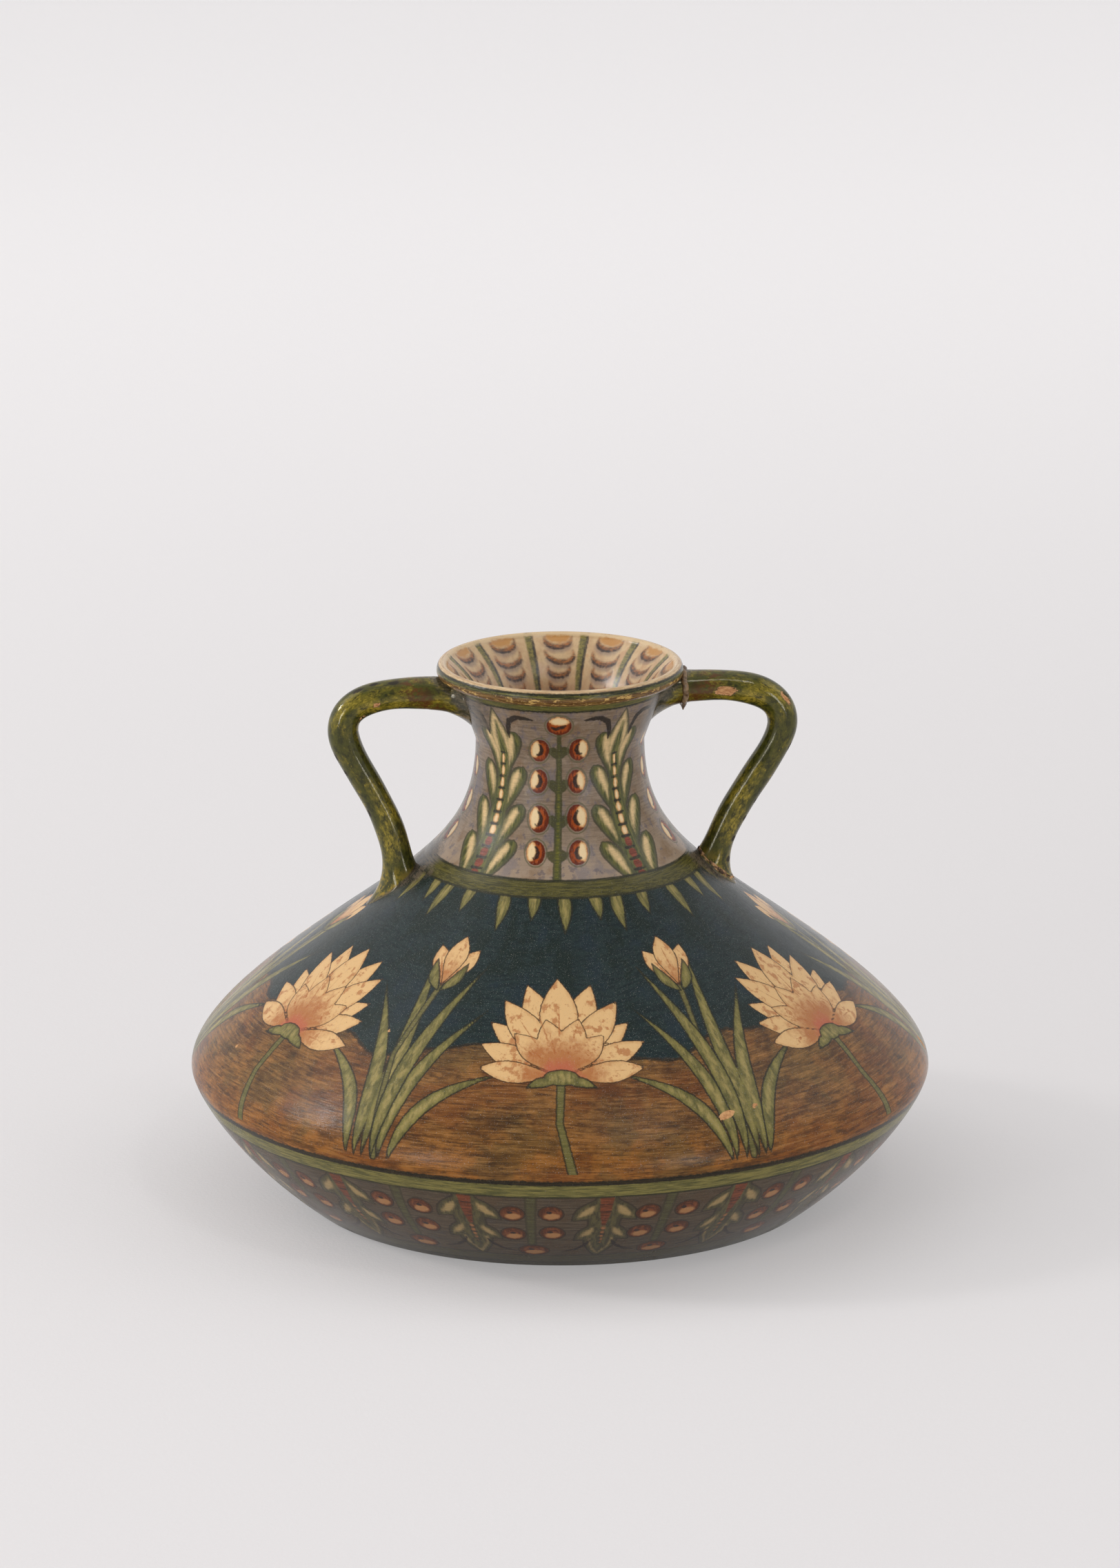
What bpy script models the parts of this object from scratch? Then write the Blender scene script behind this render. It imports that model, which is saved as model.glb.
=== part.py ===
"""Two-handled ceramic vase, built piece by piece as a potter makes it.

Units are metres, +Z is up. The origin is the centre of the foot on the table, and the two
handles stand on the X axis. The walls are thrown in three sections, which meet in ridged
seams with a ring of joining slip in each. Each handle springs from a pad of clay under the
rim and lands on another pad on the shoulder. The right handle is a glued repair.
"""
import math
from dataclasses import dataclass

import bmesh
import bpy
import numpy as np
from mathutils import Matrix, Vector

# Outer shape of the vase: the drops of the waist and rim are measured from the top,
# and the drop of the shoulder's turn from the collar
HEIGHT = 0.176
FOOT_RADIUS = 0.0845
BELLY_RADIUS = 0.120
BELLY_HEIGHT = 0.042
COLLAR_HEIGHT = 0.112
SHOULDER_TURN_RADIUS = 0.0557
SHOULDER_TURN_DROP = 0.0103
WAIST_RADIUS = 0.0272
WAIST_DROP = 0.0255
THROAT_RADIUS = 0.0344
RIM_RADIUS = 0.0397
RIM_BAND = 0.006
RIM_WIDEST_DROP = 0.003
RIM_ROLL = 0.0018
LIP_ROLL = 0.0012

# Slopes of the outline, as run over rise, and the reach of its curves beside each point
FOOT_SLOPE = 1.32
SHOULDER_SLOPE = -1.24
THROAT_SLOPE = 0.39
LIP_SLOPE = 1.25
FOOT_REACH = 0.031
EDGE_REACH_BELOW = 0.004
EDGE_REACH_ABOVE = 0.0157
SHOULDER_REACH_BELOW = 0.0226
SHOULDER_REACH_ABOVE = 0.0247
WAIST_REACH_BELOW = 0.0224
WAIST_REACH_ABOVE = 0.0011
THROAT_REACH = 0.012

# Walls, floor and foot
BODY_WALL = 0.0055
NECK_WALL = 0.0042
LIP_WIDTH = 0.0036
FLOOR = 0.007
FLOOR_RADIUS = 0.070
INNER_EDGE_REACH = 0.012
INNER_WAIST_REACH = 0.008
LIP_REACH = 0.011
FOOT_RING_WIDTH = 0.008
FOOT_RECESS = 0.0025
RECESS_DRAFT = 0.001

# Seams between the thrown sections
SLIP_THICKNESS = 0.0008
SEAM_RIDGE = 0.0018
GAP = 0.0003

# Handles and what joins them to the vase
HANDLE_RADIUS = 0.005
HANDLE_FOOT_RADIUS = 0.0045
ROOT_OVERHANG = 0.0013
ROOT_FLARE = 0.0050
ROOT_FLARE_LENGTH = 0.012
PAD_HEIGHT = 0.0022
PAD_CROWN = 0.0040
PAD_HALF_WIDTH = 0.0070
HANDLE_TRIM = 0.015
GLUE_THICKNESS = 0.0008
GLUE_BEAD_WIDTH = 0.0026
GLUE_BEAD_PROUD = 0.0012
GLUE_DRIP_RADIUS = 0.0013
GLUE_SEAM_PROUD = 0.0008

# Left handle, which is whole
LEFT_ROOT_DROP = 0.0099
LEFT_ROOT_PULL = 0.0010
LEFT_REACH = 0.0700
LEFT_REACH_DROP = 0.0214
LEFT_ARCH_PULL = 0.0146
LEFT_FALL_PULL = 0.0110
LEFT_LANDING_DROP = 0.0080
LEFT_LANDING_PULL = 0.0236
LEFT_LANDING_LEAN = -0.16
LEFT_PAD_HALF_LENGTH = 0.0130
LEFT_PAD_SHIFT = 0.0040

# Right handle, which is a glued repair
RIGHT_ROOT_DROP = 0.0094
RIGHT_ROOT_PULL = 0.0019
RIGHT_REACH = 0.0721
RIGHT_REACH_DROP = 0.0218
RIGHT_ARCH_PULL = 0.0155
RIGHT_FALL_PULL = 0.0106
RIGHT_LANDING_DROP = 0.0055
RIGHT_LANDING_PULL = 0.0200
RIGHT_LANDING_LEAN = 0.02
RIGHT_PAD_HALF_LENGTH = 0.0095
RIGHT_PAD_SHIFT = 0.0010

# Fineness of the faces
BODY_STEPS = 52
BOWL_POINTS = 12
SHOULDER_POINTS = 14
NECK_POINTS = 13
RIM_POINTS = 5
FLARE_POINTS = 7
PAD_STEPS = 24
DRIP_STEPS = 12
ROD_BEVEL_RESOLUTION = 5
ROD_CURVE_STEPS = 11
CURVE_POINTS = 200
SHARP_ANGLE = math.radians(35)
TINY = 0.00005


@dataclass(frozen=True)
class Handle:
    """One pulled handle, with lengths in metres.

    side is -1 for left and +1 for right. The root and the outermost point of the handle's
    centreline are given by their drops from the top of the vase, and the landing on the
    shoulder by its drop from the collar. A pull is how far the centreline keeps its
    direction beside a point.
    """

    name: str
    side: int
    root_drop: float
    root_pull: float
    reach: float
    reach_drop: float
    arch_pull: float
    fall_pull: float
    landing_drop: float
    landing_pull: float
    landing_lean: float
    pad_half_length: float
    pad_shift: float
    glued: bool

    @property
    def root_height(self):
        """Height of the centreline where the handle springs from under the rim."""
        return HEIGHT - self.root_drop

    @property
    def landing_height(self):
        """Height on the shoulder where the handle lands."""
        return COLLAR_HEIGHT - self.landing_drop


HANDLES = (
    Handle(name="left", side=-1, root_drop=LEFT_ROOT_DROP, root_pull=LEFT_ROOT_PULL,
           reach=LEFT_REACH, reach_drop=LEFT_REACH_DROP,
           arch_pull=LEFT_ARCH_PULL, fall_pull=LEFT_FALL_PULL,
           landing_drop=LEFT_LANDING_DROP, landing_pull=LEFT_LANDING_PULL,
           landing_lean=LEFT_LANDING_LEAN, pad_half_length=LEFT_PAD_HALF_LENGTH,
           pad_shift=LEFT_PAD_SHIFT, glued=False),
    Handle(name="right", side=1, root_drop=RIGHT_ROOT_DROP, root_pull=RIGHT_ROOT_PULL,
           reach=RIGHT_REACH, reach_drop=RIGHT_REACH_DROP,
           arch_pull=RIGHT_ARCH_PULL, fall_pull=RIGHT_FALL_PULL,
           landing_drop=RIGHT_LANDING_DROP, landing_pull=RIGHT_LANDING_PULL,
           landing_lean=RIGHT_LANDING_LEAN, pad_half_length=RIGHT_PAD_HALF_LENGTH,
           pad_shift=RIGHT_PAD_SHIFT, glued=True),
)


def bezier(start, start_pull, end_pull, end, count):
    """Points of a cubic curve from start to end, as an array of (radius, height)."""
    t = np.linspace(0.0, 1.0, count)[:, None]
    corners = [np.asarray(corner, dtype=float) for corner in (start, start_pull, end_pull, end)]
    weights = ((1 - t) ** 3, 3 * (1 - t) ** 2 * t, 3 * (1 - t) * t ** 2, t ** 3)
    return sum(weight * corner for weight, corner in zip(weights, corners))


def along(slope, length):
    """A step of the given length up a line that leans by slope, as (radius, height)."""
    return length * np.array([slope, 1.0]) / math.hypot(slope, 1.0)


def joined(*pieces):
    """Several curves end to end, each shared point kept once."""
    return np.vstack([pieces[0]] + [piece[1:] for piece in pieces[1:]])


def outer_curve():
    """Outside of the wall, from the table up to the throat under the rim."""
    foot = np.array([FOOT_RADIUS, 0.0])
    edge = np.array([BELLY_RADIUS, BELLY_HEIGHT])
    turn = np.array([SHOULDER_TURN_RADIUS, COLLAR_HEIGHT - SHOULDER_TURN_DROP])
    waist = np.array([WAIST_RADIUS, HEIGHT - WAIST_DROP])
    throat = np.array([THROAT_RADIUS, HEIGHT - RIM_BAND])
    return joined(
        bezier(foot, foot + along(FOOT_SLOPE, FOOT_REACH),
               edge - (0, EDGE_REACH_BELOW), edge, CURVE_POINTS),
        bezier(edge, edge + (0, EDGE_REACH_ABOVE),
               turn - along(SHOULDER_SLOPE, SHOULDER_REACH_BELOW), turn, CURVE_POINTS),
        bezier(turn, turn + along(SHOULDER_SLOPE, SHOULDER_REACH_ABOVE),
               waist - (0, WAIST_REACH_BELOW), waist, CURVE_POINTS),
        bezier(waist, waist + (0, WAIST_REACH_ABOVE),
               throat - along(THROAT_SLOPE, THROAT_REACH), throat, CURVE_POINTS))


def inner_curve():
    """Inside of the wall, from the floor up to the inner edge of the lip."""
    floor = np.array([FLOOR_RADIUS, FLOOR])
    floor_rise = np.array([FOOT_RADIUS, FLOOR])
    edge = np.array([BELLY_RADIUS - BODY_WALL, BELLY_HEIGHT])
    turn_normal = np.array([1.0, -SHOULDER_SLOPE]) / math.hypot(SHOULDER_SLOPE, 1.0)
    outer_turn = np.array([SHOULDER_TURN_RADIUS, COLLAR_HEIGHT - SHOULDER_TURN_DROP])
    turn = outer_turn - BODY_WALL * turn_normal
    waist = np.array([WAIST_RADIUS - NECK_WALL, HEIGHT - WAIST_DROP])
    lip = np.array([RIM_RADIUS - LIP_WIDTH, HEIGHT - RIM_WIDEST_DROP / 2])
    return joined(
        bezier(floor, floor_rise, edge - (0, INNER_EDGE_REACH), edge, CURVE_POINTS),
        bezier(edge, edge + (0, EDGE_REACH_ABOVE),
               turn - along(SHOULDER_SLOPE, SHOULDER_REACH_BELOW), turn, CURVE_POINTS),
        bezier(turn, turn + along(SHOULDER_SLOPE, SHOULDER_REACH_ABOVE),
               waist - (0, WAIST_REACH_BELOW), waist, CURVE_POINTS),
        bezier(waist, waist + (0, INNER_WAIST_REACH),
               lip - along(LIP_SLOPE, LIP_REACH), lip, CURVE_POINTS))


OUTER = outer_curve()
INNER = inner_curve()


def radius_at(curve, height):
    """Radius of a curve at one height."""
    return float(np.interp(height, curve[:, 1], curve[:, 0]))


def normal_at(height):
    """Outward normal of the outer wall at one height, as (radius, height) parts."""
    rise = radius_at(OUTER, height + GAP) - radius_at(OUTER, height - GAP)
    normal = np.array([2 * GAP, -rise])
    return normal / np.linalg.norm(normal)


def stretch(curve, low, high, count):
    """Evenly spaced points of a curve from one height up to another."""
    length = np.concatenate([[0.0], np.cumsum(np.hypot(*np.diff(curve, axis=0).T))])
    ends = np.interp([low, high], curve[:, 1], length)
    stations = np.linspace(ends[0], ends[1], count)
    return np.column_stack([np.interp(stations, length, curve[:, i]) for i in (0, 1)])


def seam(height):
    """Ridged seam through the wall at one height: inner edge, ridge and outer edge."""
    inner = radius_at(INNER, height)
    outer = radius_at(OUTER, height)
    return np.array([[inner, height], [(inner + outer) / 2, height + SEAM_RIDGE], [outer, height]])


def rim_outline():
    """Rolled rim, from the throat round the outside and over the top to the inner lip."""
    throat = OUTER[-1]
    widest = np.array([RIM_RADIUS, HEIGHT - RIM_WIDEST_DROP])
    crest = np.array([RIM_RADIUS - LIP_WIDTH / 2, HEIGHT])
    lip = INNER[-1]
    return joined(
        bezier(throat, throat + (RIM_ROLL, 0), widest - (0, RIM_ROLL), widest, RIM_POINTS),
        bezier(widest, widest + (0, RIM_ROLL), crest + (LIP_ROLL, 0), crest, RIM_POINTS),
        bezier(crest, crest - (LIP_ROLL, 0), lip + along(LIP_SLOPE, TINY), lip, RIM_POINTS))


def collection(name):
    """A new collection in the scene."""
    made = bpy.data.collections.new(name)
    bpy.context.scene.collection.children.link(made)
    return made


def material(name, colour, roughness):
    """A plain Principled material, not metallic."""
    made = bpy.data.materials.new(name)
    made.use_nodes = True
    shader = made.node_tree.nodes["Principled BSDF"]
    shader.inputs["Base Color"].default_value = (*colour, 1.0)
    shader.inputs["Roughness"].default_value = roughness
    shader.inputs["Metallic"].default_value = 0.0
    made.diffuse_color = (*colour, 1.0)
    return made


def add_object(name, mesh, target, finish=None):
    """Link a mesh as a named object, smooth but with its sharp edges kept."""
    made = bpy.data.objects.new(name, mesh)
    target.objects.link(made)
    if finish is not None:
        mesh.materials.clear()
        mesh.materials.append(finish)
    mesh.shade_smooth()
    mesh.set_sharp_from_angle(angle=SHARP_ANGLE)
    return made


def turned(name, outline, target, finish=None, closed=True, steps=BODY_STEPS):
    """Solid of revolution about local Z: the outline runs down its outer side."""
    count = len(outline)
    edges = [(i, i + 1) for i in range(count - 1)]
    if closed:
        edges.append((count - 1, 0))
    mesh = bpy.data.meshes.new(name)
    mesh.from_pydata([(radius, 0.0, height) for radius, height in outline], edges, [])
    made = add_object(name, mesh, target, finish)
    screw = made.modifiers.new("Turn", "SCREW")
    screw.axis = "Z"
    screw.steps = steps
    screw.render_steps = steps
    screw.use_merge_vertices = True
    screw.merge_threshold = TINY
    screw.use_smooth_shade = True
    return made


def cut(piece, *cutters):
    """Take each cutter away from a piece."""
    for cutter in cutters:
        modifier = piece.modifiers.new("Cut " + cutter.name, "BOOLEAN")
        modifier.operation = "DIFFERENCE"
        modifier.solver = "EXACT"
        modifier.object = cutter


def guide(made):
    """Mark an object as a cutter, which is no part of the vase."""
    made.hide_render = True
    made.display_type = "WIRE"
    return made


def lower_body(target, finish):
    """Bowl with its floor and foot ring, up to the seam at the widest edge."""
    top = BELLY_HEIGHT - SLIP_THICKNESS / 2 - GAP
    ring = FOOT_RADIUS - FOOT_RING_WIDTH
    outline = np.vstack([
        [[0.0, FLOOR]],
        stretch(INNER, FLOOR, top, BOWL_POINTS)[:-1],
        seam(top),
        stretch(OUTER, 0.0, top, BOWL_POINTS)[-2::-1],
        [[ring, 0.0], [ring - RECESS_DRAFT, FOOT_RECESS], [0.0, FOOT_RECESS]]])
    return turned("lower_body", outline, target, finish, closed=False)


def upper_body(target, finish):
    """Shoulder, from the seam at the widest edge to the seam under the collar."""
    low = BELLY_HEIGHT + SLIP_THICKNESS / 2 + GAP
    high = COLLAR_HEIGHT - SLIP_THICKNESS / 2 - GAP
    outline = np.vstack([
        stretch(OUTER, low, high, SHOULDER_POINTS)[::-1],
        seam(low)[1:2],
        stretch(INNER, low, high, SHOULDER_POINTS),
        seam(high)[1:2]])
    return turned("upper_body", outline, target, finish)


def neck(target, finish):
    """Neck, from the seam under the collar to the rolled rim."""
    low = COLLAR_HEIGHT + SLIP_THICKNESS / 2 + GAP
    rim = rim_outline()[::-1]
    outline = np.vstack([
        rim[1:-1],
        stretch(OUTER, low, OUTER[-1, 1], NECK_POINTS)[::-1],
        seam(low)[1:2],
        stretch(INNER, low, INNER[-1, 1], NECK_POINTS)])
    return turned("neck", outline, target, finish)


def slip_ring(name, height, target, finish):
    """Ring of joining slip that follows the ridged seam at one height."""
    low = seam(height - SLIP_THICKNESS / 2)
    high = seam(height + SLIP_THICKNESS / 2)
    return turned(name, np.vstack([high, low[::-1]]), target, finish)


def vase_cutter(target):
    """The outside of the vase grown by the gap, solid to the axis and above the mouth."""
    tangent = np.gradient(OUTER, axis=0)
    normals = np.column_stack([tangent[:, 1], -tangent[:, 0]])
    normals /= np.linalg.norm(normals, axis=1)[:, None]
    grown = OUTER + GAP * normals
    wall = stretch(grown, grown[0, 1], grown[-1, 1], 3 * PAD_STEPS)[::-1]
    rim = rim_outline()[RIM_POINTS - 1:0:-1] + (GAP, 0.0)
    top = HEIGHT + ROOT_FLARE
    outline = np.vstack([
        [[0.0, top], [rim[0, 0], top]],
        rim,
        wall,
        [[0.0, wall[-1, 1]]]])
    return guide(turned("vase_cutter", outline, target, closed=False))


def handle_path(shape):
    """Centreline of a handle as knots (left pull, point, right pull) in its own plane."""
    start = RIM_RADIUS + ROOT_OVERHANG + GAP
    if shape.glued:
        start += GLUE_THICKNESS + GAP
    landing = Vector((radius_at(OUTER, shape.landing_height), shape.landing_height))
    fall = Vector((-shape.landing_lean, -1.0)).normalized()
    sunk = landing + fall * PAD_HEIGHT
    root = Vector((start, shape.root_height))
    outermost = Vector((shape.reach, HEIGHT - shape.reach_drop))
    up = Vector((0.0, 1.0))
    return (
        (root - Vector((shape.root_pull, 0)), root, root + Vector((shape.root_pull, 0))),
        (outermost + up * shape.arch_pull, outermost, outermost - up * shape.fall_pull),
        (sunk - fall * shape.landing_pull, sunk, sunk + fall * shape.landing_pull))


def pad_frame(shape):
    """Place of the landing pad: X runs downhill, Y across, Z out of the shoulder."""
    height = shape.landing_height
    out, up = normal_at(height)
    radius = radius_at(OUTER, height)
    side = shape.side
    downhill = Vector((side * up, 0.0, -out))
    normal = Vector((side * out, 0.0, up))
    across = normal.cross(downhill)
    turn = Matrix((downhill, across, normal)).transposed().to_4x4()
    return Matrix.Translation((side * radius, 0.0, height)) @ turn


def block(name, low, high, shape, target):
    """Cutter between two planes that lie parallel to the shoulder at the landing point."""
    width = 4 * shape.pad_half_length
    mesh = bpy.data.meshes.new(name)
    form = bmesh.new()
    bmesh.ops.create_cube(form, size=1.0)
    size = Matrix.Diagonal((width, width, high - low, 1.0))
    offset = Matrix.Translation((0.0, 0.0, (low + high) / 2))
    bmesh.ops.transform(form, matrix=offset @ size, verts=form.verts)
    form.to_mesh(mesh)
    form.free()
    made = bpy.data.objects.new(name, mesh)
    target.objects.link(made)
    made.matrix_world = pad_frame(shape)
    return guide(made)


def handle(shape, target, cutters, finish):
    """Pulled handle: a round rod along its path, trimmed to seat on its landing pad."""
    name = shape.name + "_handle"
    curve = bpy.data.curves.new(name, "CURVE")
    curve.dimensions = "3D"
    curve.bevel_depth = 1.0
    curve.bevel_resolution = ROD_BEVEL_RESOLUTION
    curve.resolution_u = ROD_CURVE_STEPS
    curve.use_fill_caps = True
    spline = curve.splines.new("BEZIER")
    path = handle_path(shape)
    spline.bezier_points.add(len(path) - 1)
    radii = (HANDLE_RADIUS, HANDLE_RADIUS, HANDLE_FOOT_RADIUS)
    for knot, (before, point, after), radius in zip(spline.bezier_points, path, radii):
        knot.handle_left_type = knot.handle_right_type = "FREE"
        knot.handle_left = (shape.side * before.x, 0.0, before.y)
        knot.co = (shape.side * point.x, 0.0, point.y)
        knot.handle_right = (shape.side * after.x, 0.0, after.y)
        knot.radius = radius
    rod = bpy.data.objects.new(name + "_rod", curve)
    target.objects.link(rod)
    bpy.context.view_layer.update()
    evaluated = rod.evaluated_get(bpy.context.evaluated_depsgraph_get())
    mesh = bpy.data.meshes.new_from_object(evaluated)
    mesh.name = name
    form = bmesh.new()
    form.from_mesh(mesh)
    bmesh.ops.remove_doubles(form, verts=form.verts, dist=TINY)
    form.to_mesh(mesh)
    form.free()
    made = add_object(name, mesh, target, finish)
    made.matrix_world = rod.matrix_world.copy()
    bpy.data.objects.remove(rod)
    seat = PAD_HEIGHT + GAP
    if shape.glued:
        seat += GLUE_THICKNESS + GAP
    cut(made, block(name + "_trim", seat - HANDLE_TRIM, seat, shape, cutters))
    return made


def facing_out(made, side, height):
    """Turn a piece so that its local Z points outwards along X at a height."""
    made.rotation_euler = (0.0, side * math.pi / 2, 0.0)
    made.location = (0.0, 0.0, height)


def upper_lute(shape, target, cutter, finish):
    """Pad of clay that a handle springs from: it flares by a square law to the neck."""
    face = RIM_RADIUS + ROOT_OVERHANG
    stations = np.linspace(face, WAIST_RADIUS, FLARE_POINTS)
    spread = np.clip((face - stations) / ROOT_FLARE_LENGTH, 0.0, 1.0) ** 2
    outline = np.vstack([
        [[0.0, face]],
        np.column_stack([HANDLE_RADIUS + ROOT_FLARE * spread, stations]),
        [[0.0, WAIST_RADIUS]]])
    name = shape.name + "_upper_lute"
    made = turned(name, outline, target, finish, closed=False, steps=PAD_STEPS)
    facing_out(made, shape.side, shape.root_height)
    cut(made, cutter)
    return made


def lower_lute(shape, target, cutters, body_cutter, finish):
    """Pad of clay under the handle's foot, drawn out downhill into a pressed tail."""
    name = shape.name + "_lower_lute"
    mesh = bpy.data.meshes.new(name)
    form = bmesh.new()
    bmesh.ops.create_uvsphere(form, u_segments=PAD_STEPS, v_segments=PAD_STEPS // 2, radius=1.0)
    size = Matrix.Diagonal((shape.pad_half_length, PAD_HALF_WIDTH, PAD_CROWN, 1.0))
    offset = Matrix.Translation((shape.pad_shift, 0.0, 0.0))
    bmesh.ops.transform(form, matrix=offset @ size, verts=form.verts)
    form.to_mesh(mesh)
    form.free()
    made = add_object(name, mesh, target, finish)
    made.matrix_world = pad_frame(shape)
    top = block(name + "_trim", PAD_HEIGHT, PAD_HEIGHT + PAD_CROWN, shape, cutters)
    cut(made, body_cutter, top)
    return made


def glue_bead(shape, target, cutters, finish):
    """Adhesive in the break under the rim: a thin disc, its squeezed-out edge and a drip."""
    start = RIM_RADIUS + ROOT_OVERHANG + GAP
    end = start + GLUE_THICKNESS
    middle = (start + end) / 2
    half = GLUE_BEAD_WIDTH / 2
    shoulder = HANDLE_RADIUS + GAP
    proud = shoulder + GLUE_BEAD_PROUD
    outline = [(0.0, end), (shoulder, end), (shoulder, middle + half),
               (proud, middle + half / 2), (proud, middle - half / 2),
               (shoulder, middle - half), (shoulder, start), (0.0, start)]
    made = turned("upper_glue_bead", outline, target, finish, closed=False, steps=PAD_STEPS)
    facing_out(made, shape.side, shape.root_height)
    mesh = bpy.data.meshes.new("glue_drip")
    form = bmesh.new()
    bmesh.ops.create_uvsphere(form, u_segments=DRIP_STEPS, v_segments=DRIP_STEPS // 2,
                              radius=GLUE_DRIP_RADIUS)
    form.to_mesh(mesh)
    form.free()
    drip = guide(add_object("glue_drip", mesh, cutters))
    drip.location = (shape.side * middle, 0.0, shape.root_height - proud)
    union = made.modifiers.new("Drip", "BOOLEAN")
    union.operation = "UNION"
    union.solver = "EXACT"
    union.object = drip
    return made


def glue_seam(shape, target, finish):
    """Adhesive under the foot of the glued handle: a thin oval disc on its pad."""
    _, up = normal_at(shape.landing_height)
    half_width = HANDLE_FOOT_RADIUS + GLUE_SEAM_PROUD
    half_length = HANDLE_FOOT_RADIUS / up + GLUE_SEAM_PROUD
    mesh = bpy.data.meshes.new("lower_glue_seam")
    form = bmesh.new()
    bmesh.ops.create_cone(form, cap_ends=True, segments=PAD_STEPS,
                          radius1=1.0, radius2=1.0, depth=1.0)
    size = Matrix.Diagonal((half_length, half_width, GLUE_THICKNESS, 1.0))
    offset = Matrix.Translation((0.0, 0.0, PAD_HEIGHT + GAP + GLUE_THICKNESS / 2))
    bmesh.ops.transform(form, matrix=offset @ size, verts=form.verts)
    form.to_mesh(mesh)
    form.free()
    made = add_object("lower_glue_seam", mesh, target, finish)
    made.matrix_world = pad_frame(shape)
    return made


def main():
    """Clear the scene and build the vase."""
    for old in list(bpy.data.objects):
        bpy.data.objects.remove(old)
    vase = collection("ceramic_vase")
    cutters = collection("cutters")

    earth = material("brown_glaze", (0.22, 0.10, 0.03), 0.15)
    teal = material("teal_glaze", (0.02, 0.06, 0.07), 0.15)
    taupe = material("taupe_glaze", (0.25, 0.20, 0.18), 0.15)
    olive = material("olive_glaze", (0.13, 0.14, 0.02), 0.12)
    slip = material("fired_slip", (0.55, 0.42, 0.30), 0.8)
    glue = material("clear_glue", (0.30, 0.18, 0.08), 0.2)

    body_cutter = vase_cutter(cutters)
    lower_body(vase, earth)
    slip_ring("belly_slip_joint", BELLY_HEIGHT, vase, slip)
    upper_body(vase, teal)
    slip_ring("neck_slip_joint", COLLAR_HEIGHT, vase, slip)
    neck(vase, taupe)
    for shape in HANDLES:
        upper_lute(shape, vase, body_cutter, olive)
        handle(shape, vase, cutters, olive)
        lower_lute(shape, vase, cutters, body_cutter, olive)
        if shape.glued:
            glue_bead(shape, vase, cutters, glue)
            glue_seam(shape, vase, glue)


main()
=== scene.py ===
"""Looks of the two-handled ceramic vase: thrown sections, painting, handles and studio.

Lengths are millimetres while a piece is worked out, and metres in its mesh. Angles run round
the vase from the front, -Y, to the right. A height is measured from the table, and an arc is
the length along the outside of the wall, measured from the edge of the foot.
"""
from __future__ import annotations

import logging
import math
from dataclasses import dataclass
from enum import Enum
from functools import cached_property
from typing import Callable, Iterable, Sequence, Union

import bpy
import numpy as np
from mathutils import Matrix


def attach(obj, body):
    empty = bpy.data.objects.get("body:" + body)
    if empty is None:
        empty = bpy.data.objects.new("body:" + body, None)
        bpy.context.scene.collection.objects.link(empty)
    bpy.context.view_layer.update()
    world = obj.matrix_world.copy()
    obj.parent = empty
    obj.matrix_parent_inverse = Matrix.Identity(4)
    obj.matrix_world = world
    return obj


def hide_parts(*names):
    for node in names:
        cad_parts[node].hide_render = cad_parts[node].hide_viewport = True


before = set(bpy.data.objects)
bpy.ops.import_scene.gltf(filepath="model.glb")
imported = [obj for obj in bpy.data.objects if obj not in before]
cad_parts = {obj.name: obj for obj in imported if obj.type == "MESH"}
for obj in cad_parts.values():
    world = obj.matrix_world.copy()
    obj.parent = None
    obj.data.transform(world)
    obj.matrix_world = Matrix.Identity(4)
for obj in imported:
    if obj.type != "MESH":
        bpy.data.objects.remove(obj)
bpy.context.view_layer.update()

LOG = logging.getLogger("vase")
Array = np.ndarray
Point = tuple[float, float]
Triple = tuple[float, float, float]
# Red, green and blue as displayed, from 0 to 255.
Colour = tuple[int, int, int]
Piece = bpy.types.Object
Material = bpy.types.Material
Socket = bpy.types.NodeSocket

BODY = "root"
# Metres in a millimetre.
MM = 0.001
# Angle in degrees from which the camera looks at the vase.
FRONT = -5.0
# Distance in millimetres that stands for no paint near.
FAR = 9.0
# Arc in millimetres at which the handles stand on the shoulder.
HANDLE_FOOT_ARC = 157.0
# Half heights and widths in millimetres of the slip wiped round the ends of the handles.
# Round the roots it is widened over the sides of the neck, where it is partly painted shade.
SLIP_HEIGHT = 12.0
ROOT_SLIP_AND_SHADE_WIDTH = 25.0
# Radius in millimetres at which the noise of the base and shoulder, and of the neck, is read.
BODY_GIRTH = 100.0
NECK_GIRTH = 40.0


def linear(colour: Colour) -> Triple:
    """A displayed colour as linear light, from 0 to 1."""
    shares = [level / 255 for level in colour]
    return tuple(s / 12.92 if s <= 0.04045 else ((s + 0.055) / 1.055) ** 2.4 for s in shares)


class Paint(Enum):
    """A paint on the vase, with the attribute and the component that hold its distance."""

    STEM = ("paint_green", 0)
    LEAF = ("paint_green", 1)
    HEART = ("paint_green", 2)
    BERRY = ("paint_fruit", 0)
    CREAM = ("paint_fruit", 1)
    RED = ("paint_fruit", 2)
    INK = ("paint_mark", 0)
    GOLD = ("paint_mark", 1)
    BARE = ("paint_mark", 2)
    FRONT_LEAF = ("paint_frieze", 0)
    BACK_PETAL = ("paint_frieze", 1)
    PETAL = ("paint_frieze", 2)
    FRONT_PETAL = ("paint_bloom", 0)
    BLUSH = ("paint_bloom", 1)
    CALYX = ("paint_bloom", 2)


BORDER_PAINT = ("paint_green", "paint_fruit", "paint_mark")
FRIEZE_PAINT = ("paint_green", "paint_mark", "paint_frieze", "paint_bloom")


# ---------------------------------------------------------------- outline of the vase


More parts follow.
